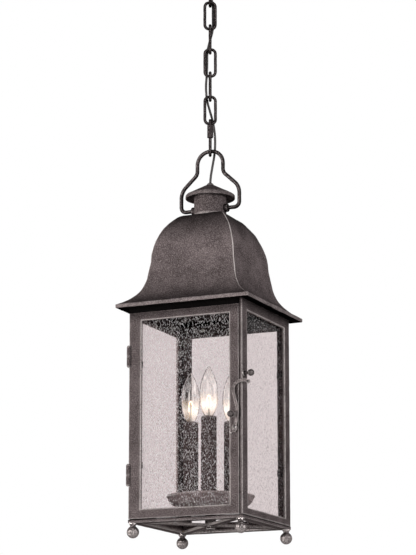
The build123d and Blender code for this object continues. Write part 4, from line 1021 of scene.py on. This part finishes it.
addPiece("latchPivot", "latch_pivot", forged, [screw, peg], body="door")
catchFoot = [(0, 99), (4.6, 100), (4.6, 101.2), (4.2, 101.6), (2.4, 101.8), (2.4, 108)]
catchLine = np.concatenate([catchFoot, ballOn(2.4, 5.4, 113, 14)])
catchWear = np.r_[0, 0.5, 1, 0.6, 0, 0, np.full(14, 0.12)]
catch = turned(catchLine, catchWear, 32, (0, -95, -718.5), (1, 0, 0), False)
addPiece("latchCatch", "latch_catch", forged, [catch])
print("door and latch made")

# candle cluster: stem, dish, sleeves, bulbs and their filaments
cluster = {
    "count": 3, "ring": 39.0, "turn": -69.5, "sleeve": 12.65, "sleeveIn": 11.25,
    "dishFloor": -914.4, "sleeveTop": -774.0, "bulbLow": -773.0,
    "bulb": [
        (6.4, 0), (9.6, 5), (12.3, 12.5), (14.2, 21), (15.2, 31), (15.25, 40), (14.3, 49), (12.4, 58),
        (9.2, 67), (5.0, 76), (2.0, 80.8), (0, 83),
    ],
    "bulbWall": 0.8,
}
candleTurns = np.radians(cluster["turn"] + 360 / cluster["count"] * np.arange(cluster["count"]))
candles = np.round(cluster["ring"] * np.stack([np.cos(candleTurns), np.sin(candleTurns)], -1), 2)
stemTube = lathe(
    [(3.2, -948.3), (5, -948.3), (5, -944.3), (9, -944.3), (9, -916), (5, -916), (5, -909.9), (3.2, -909.9)],
    (0, 0, 0, 0.8, 0.8, 0, 0.4, 0), 3.0, 48)
stemNut = hexTube(14.9, 3.2, -952.8, -948.3, 0.5)
addPiece("clusterStem", "cluster_stem", forged, [stemTube, stemNut], sharp=40)
beadTurn = np.radians(np.linspace(-75, 180, 12))
bead = np.stack([69.8 + 1.7 * np.cos(beadTurn), -900 + 1.7 * np.sin(beadTurn)], -1)
dishOut = np.concatenate([[(5.1, -916)], arcThrough((53, -916), (65.2, -910.6), (69.5, -902), 10)])
dishIn = np.concatenate([arcThrough((68.0, -900.6), (63.9, -909.6), (53, -914.4), 10), [(5.1, -914.4)]])
dishLine = np.concatenate([dishOut, bead, dishIn])
dishMarks = np.r_[np.zeros(len(dishOut)), np.full(len(bead), 0.8), np.zeros(len(dishIn))]
dishShell = turned(*finer(dishLine, dishMarks, 3.0, True), 120)
addPiece("dish", "dish", litDishBronze, [dishShell], [(0.15, 16)])
outside, inside, low, high = (cluster[key] for key in ("sleeve", "sleeveIn", "dishFloor", "sleeveTop"))
sleeveLine = [(outside, low), (outside, high), (inside, high), (inside, low)]
sleeves = [lathe(sleeveLine, (0.3, 0.5, 0.5, 0.3), 3.5, 48, (x, y, 0)) for x, y in candles]
addPiece("candleSleeves", "candle_sleeves", bronze, sleeves, [(0.12, 10)])
bulbOut = throughPoints(cluster["bulb"], 5)
bulbIn = bulbOut[:-1] - (cluster["bulbWall"], 0)
bulbIn = np.concatenate([bulbIn[bulbIn[:, 0] > 0.3], [(0, bulbOut[-1, 1] - 1.6 * cluster["bulbWall"] - 0.4)]])
bulbLine = np.concatenate([bulbOut[::-1], bulbIn]) + (0, cluster["bulbLow"])
bulbs = [turned(bulbLine, 0, 48, (x, y, 0), wrap=False) for x, y in candles]
addPiece("bulbs", "bulb_envelopes", bulbGlass, bulbs, sharp=80)

coil = {
    "turns": 34, "radius": 0.6, "wire": 0.2,
    "way": [(-3.4, 17), (-3.5, 24), (-2.2, 31), (0, 34), (2.2, 31), (3.5, 24), (3.4, 17)],
}
coilWay = throughPoints(coil["way"], 48)
coilAhead = np.gradient(coilWay, axis=0)
coilAhead /= np.linalg.norm(coilAhead, axis=1, keepdims=True)
coilTurn = np.linspace(0, 2 * math.pi * coil["turns"], len(coilWay))
coilPath = np.stack([
    coilWay[:, 0] - coilAhead[:, 1] * coil["radius"] * np.cos(coilTurn),
    coil["radius"] * np.sin(coilTurn),
    coilWay[:, 1] + coilAhead[:, 0] * coil["radius"] * np.cos(coilTurn),
], -1)
litPatches = []
for number, (x, y) in enumerate(candles):
    spin = math.radians(35 + 70 * number)
    east, north = math.cos(spin), math.sin(spin)
    turnRound = np.array([(east, north, 0), (-north, east, 0), (0, 0, 1)])
    shift = np.array([x, y, cluster["bulbLow"]])
    postLine = [(0, 0.2), (2.4, 0.2), (2.2, 5), (1.2, 10), (1.3, 12), (0, 12.6)]
    litPatches.append(turned(postLine, 0, 16, shift, wrap=False))
    for way in (-1, 1):
        lead = np.linspace((way, 0, 11), (3.4 * way, 0, 17.4), 5) @ turnRound + shift
        litPatches.append(carried(lead, circleOf(0.3, 8), (0, 0.2, 1), wearShadeAndGlow=0.3))
    wound = coilPath @ turnRound + shift
    litPatches.append(carried(wound, circleOf(coil["wire"], 5), (0.3, 1, 0.2), wearShadeAndGlow=1.0))
addPiece("filaments", "bulb_filaments", filament, litPatches, sharp=80)
print("candles made")

# pieces whose CAD shape is right keep it and get a finish
plain = {
    "ceiling_crossbar": steel, "canopy_nipple": steel, "nipple_locknut": forged, "cap_bridge": steel,
    "cap_nipple": steel, "cap_nut": steel, "roof_screws": steel, "pane_clips": forged, "door_clips": forged,
    "candle_sockets": socketPlastic, "bulb_bases": brass,
}
for node, finish in plain.items():
    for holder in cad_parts[node].material_slots:
        holder.material = finish

bpy.context.view_layer.update()
